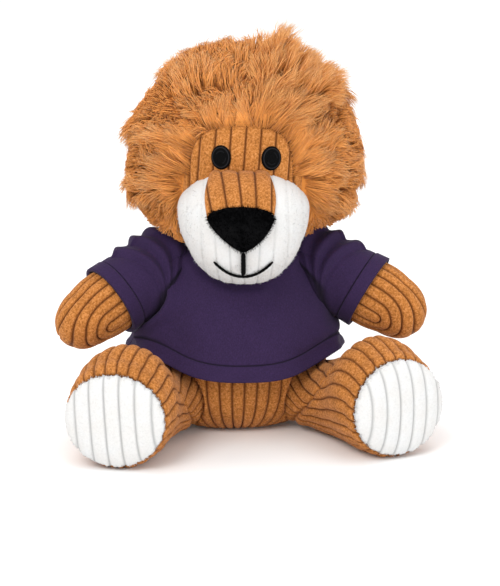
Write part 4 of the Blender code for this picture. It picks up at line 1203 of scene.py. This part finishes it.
def build_mouth():
    """The stitched mouth: an upright thread under the nose and a curved one, a parabola."""
    z = np.linspace(MOUTH_TOP, MOUTH_BOTTOM + 0.0009, 60)
    path = on_muzzle(np.zeros_like(z), z, GAP + PHILTRUM_RADIUS)
    build_thread("philtrum_thread", path, PHILTRUM_RADIUS, 7, "philtrum_stitching")
    x = np.linspace(-1, 1, 90)
    z = MOUTH_BOTTOM - SMILE_RADIUS + SMILE_RISE * x**2
    path = on_muzzle(x * SMILE_HALF_WIDTH, z, GAP + SMILE_RADIUS)
    build_thread("smile_thread", path, SMILE_RADIUS, 16, "smile_stitching")


# ---- Mane ----


def hood_skin(u, v):
    """The mane's backing about the face's axis: a squared-off bowl, u round the face."""
    size, front, back = HOOD_FORM
    around, tilt = TAU * u, math.pi * (v - 0.5)
    rim = size * squared(np.cos(tilt), BOWL_POWER)
    depth = squared(np.sin(tilt), BOWL_POWER)
    y = -np.where(depth < 0, back, front) * depth
    return stacked(rim * np.cos(around), y, rim * np.sin(around))


def bowl_level(q, size, front, back):
    """How far out points about the mane's middle lie in such a bowl, 1 on it, and at what share
    of its radius.
    """
    radius = np.hypot(q[..., 0], q[..., 2]) / size
    depth = np.abs(q[..., 1]) / np.where(q[..., 1] < 0, front, back)
    return (radius**BOWL_POWER + depth**BOWL_POWER) ** (1 / BOWL_POWER), radius


def over_hem(points):
    """Lifts points of the head's frame over the mane's hem, a shallow cone over the shoulders."""
    radius = np.linalg.norm(points[..., :2], axis=-1)
    return lifted_to(points, 0.0062 + 0.0025 * np.clip((radius - 0.017) / 0.043, 0, 1))


def in_face(points, margin):
    """Whether points of the head's frame lie in the head's or the muzzle's form."""
    q = (points - HEAD_MIDDLE) / (HEAD_HALF + margin)
    inside = (np.abs(q) ** HEAD_POWER).sum(-1) < 1
    q = points - MUZZLE_MIDDLE
    q[..., 0] /= muzzle_taper(q[..., 2])
    deep = np.where(q[..., 1] < 0, MUZZLE_DEPTH, MUZZLE_DEPTH / 2)
    tall = np.where(q[..., 2] < 0, MUZZLE_CHIN, MUZZLE_RISE)
    size = stacked(MUZZLE_HALF_WIDTH, deep, tall) + margin
    return inside | ((np.abs(q / size) ** MUZZLE_POWER).sum(-1) < 1)


def combed(points, loose):
    """Points drawn in to the mane's own form, enlarged for each point by the share loose."""
    q = points - MANE_MIDDLE
    level, radius = bowl_level(q, *PILE_FORM)
    most = 1 + loose * smooth(radius, 0.35, 0.8)
    return MANE_MIDDLE + q * np.minimum(1, most / np.maximum(level, 1e-6))[..., None]


def spread_on(skin, count, middle, rng):
    """Random places on a closed skin, evenly by area, with its normals."""
    u, v = rng.random(count), rng.random(count)
    normal = surface_cross(skin, u, v, 1e-4)
    area = np.linalg.norm(normal, axis=-1)
    points, normal = skin(u, v), unit(normal)
    normal = np.where(dot(normal, points)[:, None] < 0, -normal, normal)
    keep = (rng.random(count) < area / np.percentile(area, 97)) & np.isfinite(normal).all(1)
    return points[keep] + middle, normal[keep]


def mane_roots(count, rng):
    """Places for strands on the backing and on the head round the face's opening."""
    on_hood, hood_normal = spread_on(hood_skin, count * 6, MANE_MIDDLE, rng)
    keep = ~in_face(on_hood, 0.0003)
    on_head, head_normal = spread_on(
        lambda u, v: puff(u, v, *HEAD_FORM), count * 6, HEAD_MIDDLE, rng
    )
    kept = (opening_level(on_head) > 1) & (on_head[:, 1] < -0.01)
    kept &= bowl_level(on_head - MANE_MIDDLE, *HOOD_FORM)[0] >= 1
    ahead = on_head * (1, 0, 1) + np.array((0, MUZZLE_MIDDLE[1] - 0.001, 0))
    kept &= ~in_face(ahead, 0.0002) | (on_head[:, 2] > HEAD_MIDDLE[2])
    points = np.concatenate([on_hood[keep], on_head[kept]])
    normal = np.concatenate([hood_normal[keep], head_normal[kept]])
    above = points[:, 2] > 0.0065
    points, normal = points[above], normal[above]
    weight = 1 + 2.5 * bell(face_distance(points), 0.004)
    count = min(count, len(points))
    order = rng.choice(len(points), count, replace=False, p=weight / weight.sum())
    return points[order], normal[order]


def mane_flow(points, rng):
    """Where the pile leads: away from the face in front, and back and down behind."""
    local = points - MANE_MIDDLE
    out = unit(stacked(local[:, 0], 0, local[:, 2] + 0.010))
    back = smooth(local[:, 1], -0.026, 0.012)[:, None]
    hang = smooth(-local[:, 2], 0.004, 0.030)[:, None]
    front_way = out + np.array((0.0, 0.05, -0.05)) + hang * np.array((0.0, -0.1, -0.9))
    back_way = out * 0.30 + np.array((0.0, 0.62, -0.62))
    beside = bell(np.abs(local[:, 0]) - 0.028, 0.006) * smooth(-local[:, 2], 0.006, 0.030)
    beside = beside[:, None]
    front_way = front_way * (1 - beside) + np.array((0.0, -0.1, -1.0)) * beside
    way = unit(front_way * (1 - back) + back_way * back)
    for _ in range(5):
        bearing, wave = rng.normal(size=3), rng.normal(0, 150.0, 3)
        way = way + 0.10 * bearing * np.sin(points @ wave + rng.uniform(0, TAU))[:, None]
    return unit(way)


def nearest_of(points, centres):
    """The number of the centre that is nearest to each point."""
    home = np.empty(len(points), int)
    for start in range(0, len(points), 4000):
        part = points[start:start + 4000]
        home[start:start + 4000] = ((part[:, None] - centres) ** 2).sum(-1).argmin(1)
    return home


def build_mane_backing():
    """The fur fabric's own skin, in which the strands are rooted."""
    u, v = np.meshgrid(ring_steps(110), np.linspace(0, 1, 60))
    hood = from_head(over_hem(hood_skin(u, v) + MANE_MIDDLE))
    stuffed("mane_backing", hood, "mane_strands", "head", "mane", 0.7, share=0.0, tone=0.3)


def build_mane():
    """Strands in locks: each strand leans to the middle line of its lock, and all are combed."""
    sizes = bpy.context.scene.lion_sizes
    rng = np.random.default_rng(7)
    root, normal = mane_roots(sizes.mane_strands, rng)
    count, locks = len(root), sizes.mane_locks
    lock = rng.choice(count, locks, replace=False)
    home = nearest_of(root, root[lock])
    # Each lock wanders off the flow, and strands stand up less beside the face
    flow = mane_flow(root, rng)
    wander = rng.normal(0, 0.20, (locks, 3))
    lock_length = rng.uniform(0.70, 1.2, locks)
    away = flow + wander[home]
    lift = 0.70 - 0.40 * bell(face_distance(root), 0.006)[:, None]
    start = unit(normal * lift + away + rng.normal(0, 0.13, away.shape))
    end = unit(away * 1.1 + normal * 0.05 - UP * 0.15 + rng.normal(0, 0.22, away.shape))
    # The outline's bearings count in front and fade behind; where it stands out, strands are longer
    local = root - MANE_MIDDLE
    outline = read(MANE_OUTLINE, np.degrees(np.arctan2(local[:, 2], local[:, 0]))) - 1
    outline = outline * (1 - smooth(local[:, 1], -0.012, 0.040))
    length = sizes.mane_length * lock_length[home] * (1 + 1.6 * np.maximum(outline, 0))
    length = length * rng.uniform(0.82, 1.1, count)
    # Tips are drawn to their lock's own strand
    pull = sizes.lock_pull * STRAND_STEPS**1.3
    centre = bent(root[lock], start[lock], end[lock], length[lock])[home]
    line = bent(root, start, end, length) * (1 - pull) + centre * pull
    loose = 0.005 + outline + rng.normal(0, 0.024, locks)[home] + rng.normal(0, 0.018, count)
    line = combed(line, loose[:, None] * STRAND_STEPS[..., 0])
    # Nothing hangs below the hem, which is lower before the chest, at the back and at the sides
    low = 0.0060 - 0.0100 * (1 - smooth(line[..., 1], -0.034, -0.016))
    low = low - 0.012 * smooth(line[..., 1], 0.030, 0.040)
    reach = np.hypot(line[..., 0], line[..., 1])
    low = low - 0.0035 * smooth(reach, 0.038, 0.046) * rng.random((count, 1))
    line = from_head(lifted_to(line, low + 0.0015 * rng.random((count, 1))))
    tone = 0.52 + rng.normal(0, 0.20, count) + rng.normal(0, 0.09, locks)[home]
    tone = np.clip(tone, 0, 1)
    width = rng.uniform(0.00010, 0.00020, count)
    parts = np.array_split(np.argsort(root[:, 1]), math.ceil(count / MANE_PART))
    for index, part in enumerate(parts, 1):
        name = "mane_pile_%d" % index
        strands(name, line[part], width[part], tone[part], "mane_strands", "head")


# ---- T-shirt ----


def rows_to_stitching(rows, fine):
    """Even steps from 0 to 1, with finer ones about a row of stitching, which has its own row."""
    first, last = BAND_RUN - 6 * fine, BAND_RUN + 6 * fine
    parts = np.linspace(0, first, rows), np.linspace(first, last, 13), np.linspace(last, 1, 10)
    return np.concatenate([parts[0], parts[1][1:], parts[2][1:]])


def about_stitching(run):
    """The shares of the way down to the stitching, and of the way on below it."""
    return np.minimum(run / BAND_RUN, 1), np.maximum(run - BAND_RUN, 0) / (1 - BAND_RUN)


def turned_edge(over_band):
    """The step of a turned hem's doubled band, and the groove of its stitching with painted shade
    in it.
    """
    step = 0.0004 * smooth(-over_band, -0.0002, 0.0002) - 0.0005 * bell(over_band, 0.00028)
    return step, 0.95 * bell(over_band, 0.00025)


def shirt_grid(u, run):
    """The torso's skin under the shirt and its hem's height; at BAND_RUN is the stitching."""
    levels = np.linspace(0.80, 0.999, 400)
    depth = np.abs(torso_skin(np.full_like(levels, FRONT), levels)[:, 1])
    top = float(np.interp(-(BAND_INNER + BAND_THICKNESS / 3), -depth, levels))
    edge = read(HEM_HEIGHTS, -np.sin(TAU * u))
    stitched = torso_level(edge + HEM_BAND)
    above, below = about_stitching(run)
    v = top + (stitched - top) * above + (torso_level(edge) - stitched) * below
    return torso_skin(u, v), edge


def shirt_folds(points):
    """Ridges and hollows along lines on the shirt, each a bell across its line."""
    height = np.zeros(points.shape[:-1])
    for size, width, line in SHIRT_FOLDS:
        line = np.array(line) / 1000
        nearest = np.full(points.shape[:-1], 1.0)
        for start, end in zip(line[:-1], line[1:]):
            along = end - start
            t = np.clip(dot(points - start, along) / dot(along, along), 0, 1)
            off = points - start - t[..., None] * along
            nearest = np.minimum(nearest, np.linalg.norm(off, axis=-1))
        height += size / 1000 * bell(nearest, width / 1000)
    return height


def armhole_core(side):
    """A point inside the body, behind the armhole."""
    return np.array((side * 0.004, -0.002, 0.062))


def armhole_seam(side, around):
    """The ring on the shirt where a sleeve is sewn in: an oval round the arm, drawn onto the body.

    Its upper part reaches in over the shoulder. Each point is found by halving the way from a
    core inside the body to the oval.
    """
    lean = 0.5 + 0.5 * np.sin(around)
    place = 0.003 - 0.014 * lean**1.5 + 0.006 * np.maximum(np.cos(around), 0) * (1 - lean)
    guess = arm_point(side, around, place, ARMHOLE_RADIUS, ARMHOLE_RADIUS - 0.002)
    core = armhole_core(side)
    way = guess + shoulder(side) - core
    near, far = np.zeros(len(around)), np.full(len(around), 1.8)
    for _ in range(40):
        half = (near + far) / 2
        out = torso_reach(core + way * half[:, None], CLOTH) > 0
        near, far = np.where(out, near, half), np.where(out, half, far)
    return core + way * near[:, None]


def armhole_limits(run, centre, edge):
    """For each row, the u at which the shirt's panel meets the armhole, or else its side seam."""
    u = centre + (edge - centre) * np.linspace(0, 1, 500)
    side = 1.0 if math.cos(TAU * edge) > 0 else -1.0
    core = armhole_core(side)
    rays = unit(armhole_seam(side, TAU * ring_steps(360)) - core)
    axis = unit(rays.mean(0))
    first = unit(np.cross(axis, UP))
    second = np.cross(axis, first)
    spread = np.arccos(np.clip(rays @ axis, -1, 1))
    bearing = np.arctan2(rays @ second, rays @ first)
    order = np.argsort(bearing)
    ray = unit(shirt_grid(*np.meshgrid(u, run))[0] - core)
    away = np.arccos(np.clip(ray @ axis, -1, 1))
    at = np.arctan2(ray @ second, ray @ first)
    inside = away < np.interp(at, bearing[order], spread[order], period=TAU) - 0.055
    return u[np.where(inside.any(1), inside.argmax(1), len(u) - 1)]


def eased_down(limit, most=0.0035):
    """Limits lowered so that none is more than a step above the next one down the panel."""
    limit = limit.copy()
    for row in range(len(limit) - 2, -1, -1):
        limit[row] = min(limit[row], limit[row + 1] + most)
    return limit


def build_panel(name, centre, columns, rows):
    """One panel from neck to hem whose sides follow the armholes, with a turned hem."""
    run = rows_to_stitching(rows, 0.0025)
    gap = 0.0004
    low = eased_down(armhole_limits(run, centre, centre - 0.25 + gap))
    high = -eased_down(-armhole_limits(run, centre, centre + 0.25 - gap))
    share = np.linspace(0, 1, columns)
    u = low[:, None] * (1 - share) + high[:, None] * share
    run = np.broadcast_to(run[:, None], u.shape)
    skin, edge = shirt_grid(u, run)
    # The cloth stands off more towards the hem, where it ripples
    over_edge = skin[..., 2] - edge
    ripple = 0.5 + 0.5 * np.sin(TAU * 9 * u + 0.7)
    ease = 0.0008 + 0.0062 * run**3 + 0.0014 * ripple * run**2 + shirt_folds(skin)
    ease = np.maximum(ease, 0.0004)
    step, groove = turned_edge(over_edge - HEM_BAND)
    lip = 0.0004 * bell(over_edge - 0.001, 0.001)
    normal = surface_cross(lambda a, b: shirt_grid(a, b)[0], u, run, 2e-4)
    normal = unit(normal * np.sign(dot(normal, skin - (0.0, 0.0, 0.045)))[..., None])
    outer = skin + normal * (ease + CLOTH + step + lip)[..., None]
    inner = skin + normal * ease[..., None]
    panel = "shirt_" + name
    piece = closed_cloth(panel + "_cloth", outer, inner, False, groove)
    dress(piece, "purple_jersey_knit", "torso", panel)


def clear_of_arm(side, points, margin):
    """Points moved straight off the arm's middle line until they clear its skin by a margin."""
    ahead, wide, thick = arm_axes(side)
    q = points - shoulder(side)
    place, across, through = dot(q, ahead), dot(q, wide), dot(q, thick)
    tall, deep = arm_half(place, hand_growth(side, across, place))
    reach = np.sqrt((across / (tall + margin)) ** 2 + (through / (deep + margin)) ** 2)
    push = np.maximum(ball_share(place, ARM_BALL + margin) / np.maximum(reach, 1e-6), 1) - 1
    return points + push[..., None] * (across[..., None] * wide + through[..., None] * thick)


def sleeve_folds(angle, t):
    """Folds that fan out from under the arm: ridges at a share of the way that grows upwards."""
    run = np.clip((np.arcsin(np.sin(angle)) + 1.15) / 2.6, 0, None)
    behind = np.where(np.cos(angle) > 0, 0.0, 0.05)
    fold = np.zeros(np.broadcast(angle, t).shape)
    for reach, size, width in SLEEVE_FOLDS:
        off = t - 0.13 - (reach + behind) * run
        ridge = size * bell(off, width * (0.75 + 0.25 * run))
        hollow = 0.0006 * bell(off - 0.090 * (0.5 + 0.5 * run), 0.028)
        fold += (ridge - hollow) * smooth(run, 0.0, 0.6)
    return fold * (1 - smooth(t, 0.72, 0.84))


def build_sleeve(name, side):
    """A tube from the armhole seam on the shirt to a turned cuff, with folds that fan out."""
    around = TAU * ring_steps(220)
    seam = armhole_seam(side, around)
    ahead, wide, _ = arm_axes(side)
    hinge = shoulder(side)
    seam_place = dot(seam - hinge, ahead)
    angle, down = np.meshgrid(around, rows_to_stitching(46, 0.003))
    # The place along the arm, from the seam to the cuff, with the stitching level all round
    above, below = about_stitching(down)
    stitched = 1 - HEM_BAND / (SLEEVE_END - seam_place)
    t = stitched * above + (1 - stitched) * below
    place = seam_place * (1 - t) + SLEEVE_END * t
    ease = 0.0006 + 0.0012 * (1 - t)
    # A tube round the arm whose upper end is drawn over to the seam, clear of the arm
    tall, deep = arm_half(place, hand_growth(side, np.sin(angle), place))
    tube = arm_point(side, angle, place, tall + ease, deep + ease) + hinge
    drawn = (1 - smooth(t, 0.0, 0.62))[..., None]
    tube = clear_of_arm(side, tube * (1 - drawn) + (seam + (tube - tube[:1])) * drawn, 0.0011)
    # Folds, and a hollow in front under the arm, with painted shade over it
    under = smooth(np.cos(angle), -0.1, 0.4) * smooth(-np.sin(angle), -0.3, 0.3)
    fold = sleeve_folds(angle, t) - 0.0016 * under * bell(t - 0.08, 0.07)
    fold = fold - 0.0010 * bell(t, 0.04)
    step, groove = turned_edge(SLEEVE_END - HEM_BAND - place)
    middle = hinge + ahead * 0.01
    outer = lifted(tube, fold + CLOTH + step, middle)
    inner = lifted(tube, np.maximum(fold, -0.0012), middle)
    # Painted shade: a narrow dark band along the armhole seam, widening over the hollow under the
    # arm
    shade = 0.95 * bell(t - 0.03 - 0.25 * under, 0.022 + 0.11 * under)
    groove = np.maximum(groove, shade)
    sleeve = "sleeve_" + name
    piece = closed_cloth(sleeve + "_cloth", outer, inner, True, groove)
    dress(piece, "purple_jersey_knit", None, sleeve)
    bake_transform(piece)


def build_neckband():
    """A rib-knit ring round the neck: upright ribs on a band whose edge rolls over."""
    t, row = np.meshgrid(ring_steps(4 * BAND_RIBS), np.linspace(0, 1, 10))
    rise = (NECK[2] - 0.004 + 0.0065 * row)[..., None] * UP
    roll = 0.0006 * np.sqrt(np.clip(1 - (2 * row - 1) ** 2, 0, 1))
    knit = np.cos(TAU * t * BAND_RIBS)
    radius = BAND_INNER + BAND_THICKNESS - 0.0005 + roll + 0.00012 * knit
    ring = stacked(np.cos(TAU * t), np.sin(TAU * t), 0)
    outer, inner = ring * radius[..., None] + rise, ring * BAND_INNER + rise
    # Painted shade between the knit ribs
    piece = closed_cloth("neckband_knit", outer, inner, True, 0.4 - 0.4 * knit)
    dress(piece, "purple_jersey_knit", "torso", "neckband")


# ---- Tail ----


def tail_line(place):
    """The tail's middle line: it drops to the table and bends towards the toy's left."""
    run = np.clip(place / TAIL_LENGTH, 0, None)
    turn = TAIL_BEND * run
    radius = TAIL_LENGTH / TAIL_BEND
    y = np.where(place < 0, place, radius * np.sin(turn))
    z = -(TAIL_ROOT[2] + PRESS - TAIL_RADIUS) * read(TAIL_FALL, run)
    return stacked(radius * (1 - np.cos(turn)), y, z), stacked(np.cos(turn), -np.sin(turn), 0)


def build_tail_cord():
    """A narrow tube with five wales along it, closed by a seam beneath."""
    u, v = np.meshgrid(ring_steps(72), np.linspace(0, 1, 110))
    place, share = limb_profile(v, TAIL_BALL, TAIL_LENGTH, TAIL_RADIUS, 2.0)
    middle = np.clip(place / (TAIL_LENGTH - TAIL_RADIUS), 0, 1)
    radius = (TAIL_RADIUS + (TAIL_BALL - TAIL_RADIUS) * (1 - middle) ** 4) * share
    line, across = tail_line(place)
    height, groove = wales(u * TAIL_WALES + 0.25, TAU * TAIL_RADIUS / TAIL_WALES)
    points = lifted(swept(line, across, UP, radius, TAU * u), height * 0.6 * np.minimum(share, 1))
    points = lifted_to(points + TAIL_ROOT, 0.0)
    stuffed("tail_cord", points, "brown_corduroy_ribs", "tail", "tail", 0.9, groove=groove)


def build_tuft():
    """The tail's end: a small core and strands that follow the tail and spread at their tips."""
    u, v = np.meshgrid(ring_steps(48), np.linspace(0, 1, 40))
    tilt = math.pi * v
    start = TAIL_LENGTH - TUFT_OVERLAP
    place = start + TUFT_LENGTH * 0.8 * (1 - np.cos(tilt)) / 2
    core = 0.62 * TUFT_RADIUS
    radius = core * squared(np.sin(tilt), 2.2) * (1 - 0.25 * v)
    rise = (core - TAIL_RADIUS) * np.clip((place - start) / TUFT_OVERLAP, 0, 1)
    line, across = tail_line(place)
    points = swept(line + rise[..., None] * UP, across, UP, radius, TAU * u) + TAIL_ROOT
    rings = lifted_to(points, 0.0)
    finish = "mane_strands"
    stuffed("tail_tuft_core", rings, finish, "tail", "tail_tuft", 0.6, share=0.0, tone=0.3)
    rng = np.random.default_rng(23)
    row, column = rng.integers(1, 33, TUFT_STRANDS), rng.integers(0, 48, TUFT_STRANDS)
    root, away = points[row, column], grid_normals(points, True)[row, column]
    turn = TAIL_BEND * place[row, column] / TAIL_LENGTH
    ahead = stacked(np.sin(turn), np.cos(turn), 0)
    start = unit(away * 0.9 + ahead * 0.8 + rng.normal(0, 0.15, root.shape))
    end = unit(away * 0.15 + ahead + rng.normal(0, 0.2, root.shape) - UP * 0.25)
    length = rng.uniform(0.009, 0.014, len(root)) * (1 - 0.35 * row / 33)
    line = lifted_to(bent(root, start, end, length), 0.0002)
    width = rng.uniform(0.00018, 0.00029, len(root))
    strands("tail_tuft_pile", line, width, rng.random(len(root)), finish, "tail")


# ---- Stage ----


def build_backdrop():
    """A round floor, a little higher at its rim, that runs out into the light of the room."""
    reach = 4.0
    turn, out = np.meshgrid(TAU * ring_steps(64), reach * np.linspace(0, 1, 60) ** 2)
    top = stacked(out * np.cos(turn), out * np.sin(turn), 0.02 * smooth(out, 1.0, reach))
    under = top - (0.01 * (1 - out / reach) + 0.0001)[..., None] * UP
    made = closed_form("backdrop", np.concatenate([top, under[::-1]]))
    material, tree, shader = shader_of("backdrop_paper", 0.9, 0.0)
    pale = ramp_of(tree, noise_at(tree, 40.0), (0.4, grey(0.950)), (0.6, grey(0.955)))
    tree.links.new(pale, shader.inputs["Base Color"])
    made.data.materials.append(material)


def placed(name, held, place, target):
    """A lamp or a camera that looks from its place to a target."""
    made = bpy.data.objects.new(name, held)
    bpy.context.scene.collection.objects.link(made)
    made.location = place
    made.rotation_euler = Vector(target - place).to_track_quat("-Z", "Y").to_euler()
    return made


def build_lamp(name, place, size, energy, colour):
    held = bpy.data.lights.new(name, "AREA")
    held.shape = "DISK"
    held.size = size
    held.energy = energy
    held.color = colour
    placed(name, held, np.array(place), 0.08 * UP)


def build_camera():
    """Looks at what lies in the middle of the photo, with its scale at the toy."""
    across, down = (at - seat for at, seat in zip(PHOTO_MIDDLE, SEAT_PIXEL))
    target = (VIEW_RIGHT * across - VIEW_UP * down) * PIXEL
    held = bpy.data.cameras.new("camera")
    held.sensor_fit = "VERTICAL"
    held.sensor_height = SENSOR
    held.lens = CAMERA_DISTANCE / PIXEL * SENSOR / PHOTO_HEIGHT
    made = placed("camera", held, target + CAMERA_DISTANCE * VIEW_BACK, target)
    bpy.context.scene.camera = made


def build_world():
    """Even white light from all round."""
    world = bpy.data.worlds.new("studio")
    world.use_nodes = True
    sky = world.node_tree.nodes["Background"]
    sky.inputs["Color"].default_value = (1.0, 1.0, 1.0, 1.0)
    sky.inputs["Strength"].default_value = 1.06
    bpy.context.scene.world = world
    bpy.context.scene.view_settings.view_transform = "Standard"


# ---- Add-on ----


def tint(label, about, value):
    return FloatVectorProperty(
        name=label, description=about, default=value, size=3, min=0, max=1, subtype="COLOR"
    )


def metres(label, about, value):
    return FloatProperty(
        name=label, description=about, default=value, min=0, unit="LENGTH", precision=5
    )


def whole(label, about, value):
    return IntProperty(name=label, description=about, default=value, min=10)


class LionSizes(PropertyGroup):
    rib_height: metres("Rib height", "How far a corduroy rib stands over its edges", 0.00058)
    groove_depth: metres("Groove depth", "How deep the groove between two ribs is", 0.00070)
    mane_length: metres("Mane length", "Length of the mane's strands", 0.0200)
    mane_strands: whole("Mane strands", "Number of strands in the mane", 40000)
    mane_locks: whole("Mane locks", "Number of locks that the strands gather in", 1000)
    lock_pull: FloatProperty(
        name="Lock pull", description="How far tips gather into their lock",
        default=0.36, min=0, max=1, subtype="FACTOR",
    )


class LionColours(PropertyGroup):
    corduroy: tint("Corduroy", "The ribs of the brown corduroy", (0.455, 0.166, 0.034))
    corduroy_light: tint("Corduroy nap", "The lightest brown fibres", (0.620, 0.262, 0.085))
    # groove is the painted shade at the bottom of a brown groove and along seams
    groove: tint("Groove", "The bottom of a brown groove", (0.105, 0.028, 0.0035))
    white: tint("White corduroy", "Muzzle and foot pads", (0.650, 0.653, 0.652))
    mane: tint("Mane", "The middle of the mane's strands", (0.765, 0.314, 0.080))
    mane_root: tint("Mane root", "The roots of the mane's strands", (0.640, 0.235, 0.046))
    mane_tip: tint("Mane tip", "The tips of the mane's strands", (0.910, 0.475, 0.170))
    black: tint("Black", "Eyes, nose and mouth", (0.0022, 0.0022, 0.0026))
    shirt: tint("Shirt", "The T-shirt's jersey", (0.0285, 0.0140, 0.0530))


class Builder:
    """What the operators share: each runs its own build, and is then done."""

    def execute(self, context):
        self.build()
        return {"FINISHED"}


class LionStage(Builder, Operator):
    """Makes the backdrop, the lamps and the camera"""

    bl_idname = "lion.stage"
    bl_label = "Stage"

    def build(self):
        build_backdrop()
        build_camera()
        for name, lamp in LAMPS.items():
            build_lamp(name, *lamp)
        build_world()


class LionTorso(Builder, Operator):
    """Makes the stuffed torso and the neck"""

    bl_idname = "lion.torso"
    bl_label = "Torso and neck"

    def build(self):
        build_torso()
        build_neck()


class LionLegs(Builder, Operator):
    """Makes the legs and their foot pads"""

    bl_idname = "lion.legs"
    bl_label = "Legs and soles"

    def build(self):
        for name, side in SIDES.items():
            build_leg(name, side)
            build_sole(name, side)


class LionArms(Builder, Operator):
    """Makes the arms with their mitten ends"""

    bl_idname = "lion.arms"
    bl_label = "Arms"

    def build(self):
        for name, side in SIDES.items():
            build_arm(name, side)


class LionHead(Builder, Operator):
    """Makes the head, the muzzle and the panel over the nose"""

    bl_idname = "lion.head"
    bl_label = "Head and muzzle"

    def build(self):
        build_skull()
        build_muzzle()
        build_bridge()


class LionFace(Builder, Operator):
    """Makes the eyes, the nose and the stitched mouth"""

    bl_idname = "lion.face"
    bl_label = "Face"

    def build(self):
        for name, side in SIDES.items():
            build_eye(name, side)
        build_nose()
        build_mouth()


class LionMane(Builder, Operator):
    """Makes the mane's backing and its locks of long pile"""

    bl_idname = "lion.mane"
    bl_label = "Mane"

    def build(self):
        build_mane_backing()
        build_mane()


class LionShirt(Builder, Operator):
    """Makes the T-shirt: two panels, two sleeves and the neckband"""

    bl_idname = "lion.shirt"
    bl_label = "T-shirt"

    def build(self):
        build_panel("front", FRONT, 200, 66)
        build_panel("back", BACK, 140, 44)
        for name, side in SIDES.items():
            build_sleeve(name, side)
        build_neckband()


class LionTail(Builder, Operator):
    """Makes the tail and its tuft"""

    bl_idname = "lion.tail"
    bl_label = "Tail"

    def build(self):
        build_tail_cord()
        build_tuft()


STEPS = (
    LionStage, LionTorso, LionLegs, LionArms, LionHead, LionFace, LionMane, LionShirt, LionTail
)


class LionPanel(Panel):
    bl_idname = "VIEW3D_PT_lion"
    bl_label = "Lion"
    bl_space_type = "VIEW_3D"
    bl_region_type = "UI"
    bl_category = "Lion"

    def draw(self, context):
        for group in (context.scene.lion_sizes, context.scene.lion_colours):
            for name in group.__annotations__:
                self.layout.prop(group, name)
        for step in STEPS:
            self.layout.operator(step.bl_idname)


CLASSES = (LionSizes, LionColours, *STEPS, LionPanel)


def register():
    for held in CLASSES:
        bpy.utils.register_class(held)
    bpy.types.Scene.lion_sizes = PointerProperty(type=LionSizes)
    bpy.types.Scene.lion_colours = PointerProperty(type=LionColours)


def unregister():
    del bpy.types.Scene.lion_colours
    del bpy.types.Scene.lion_sizes
    for held in reversed(CLASSES):
        bpy.utils.unregister_class(held)


def main():
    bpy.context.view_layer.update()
    register()
    lion = bpy.ops.lion
    lion.stage()
    lion.torso()
    lion.legs()
    lion.arms()
    lion.head()
    lion.face()
    lion.mane()
    lion.shirt()
    lion.tail()


if __name__ == "__main__":
    main()
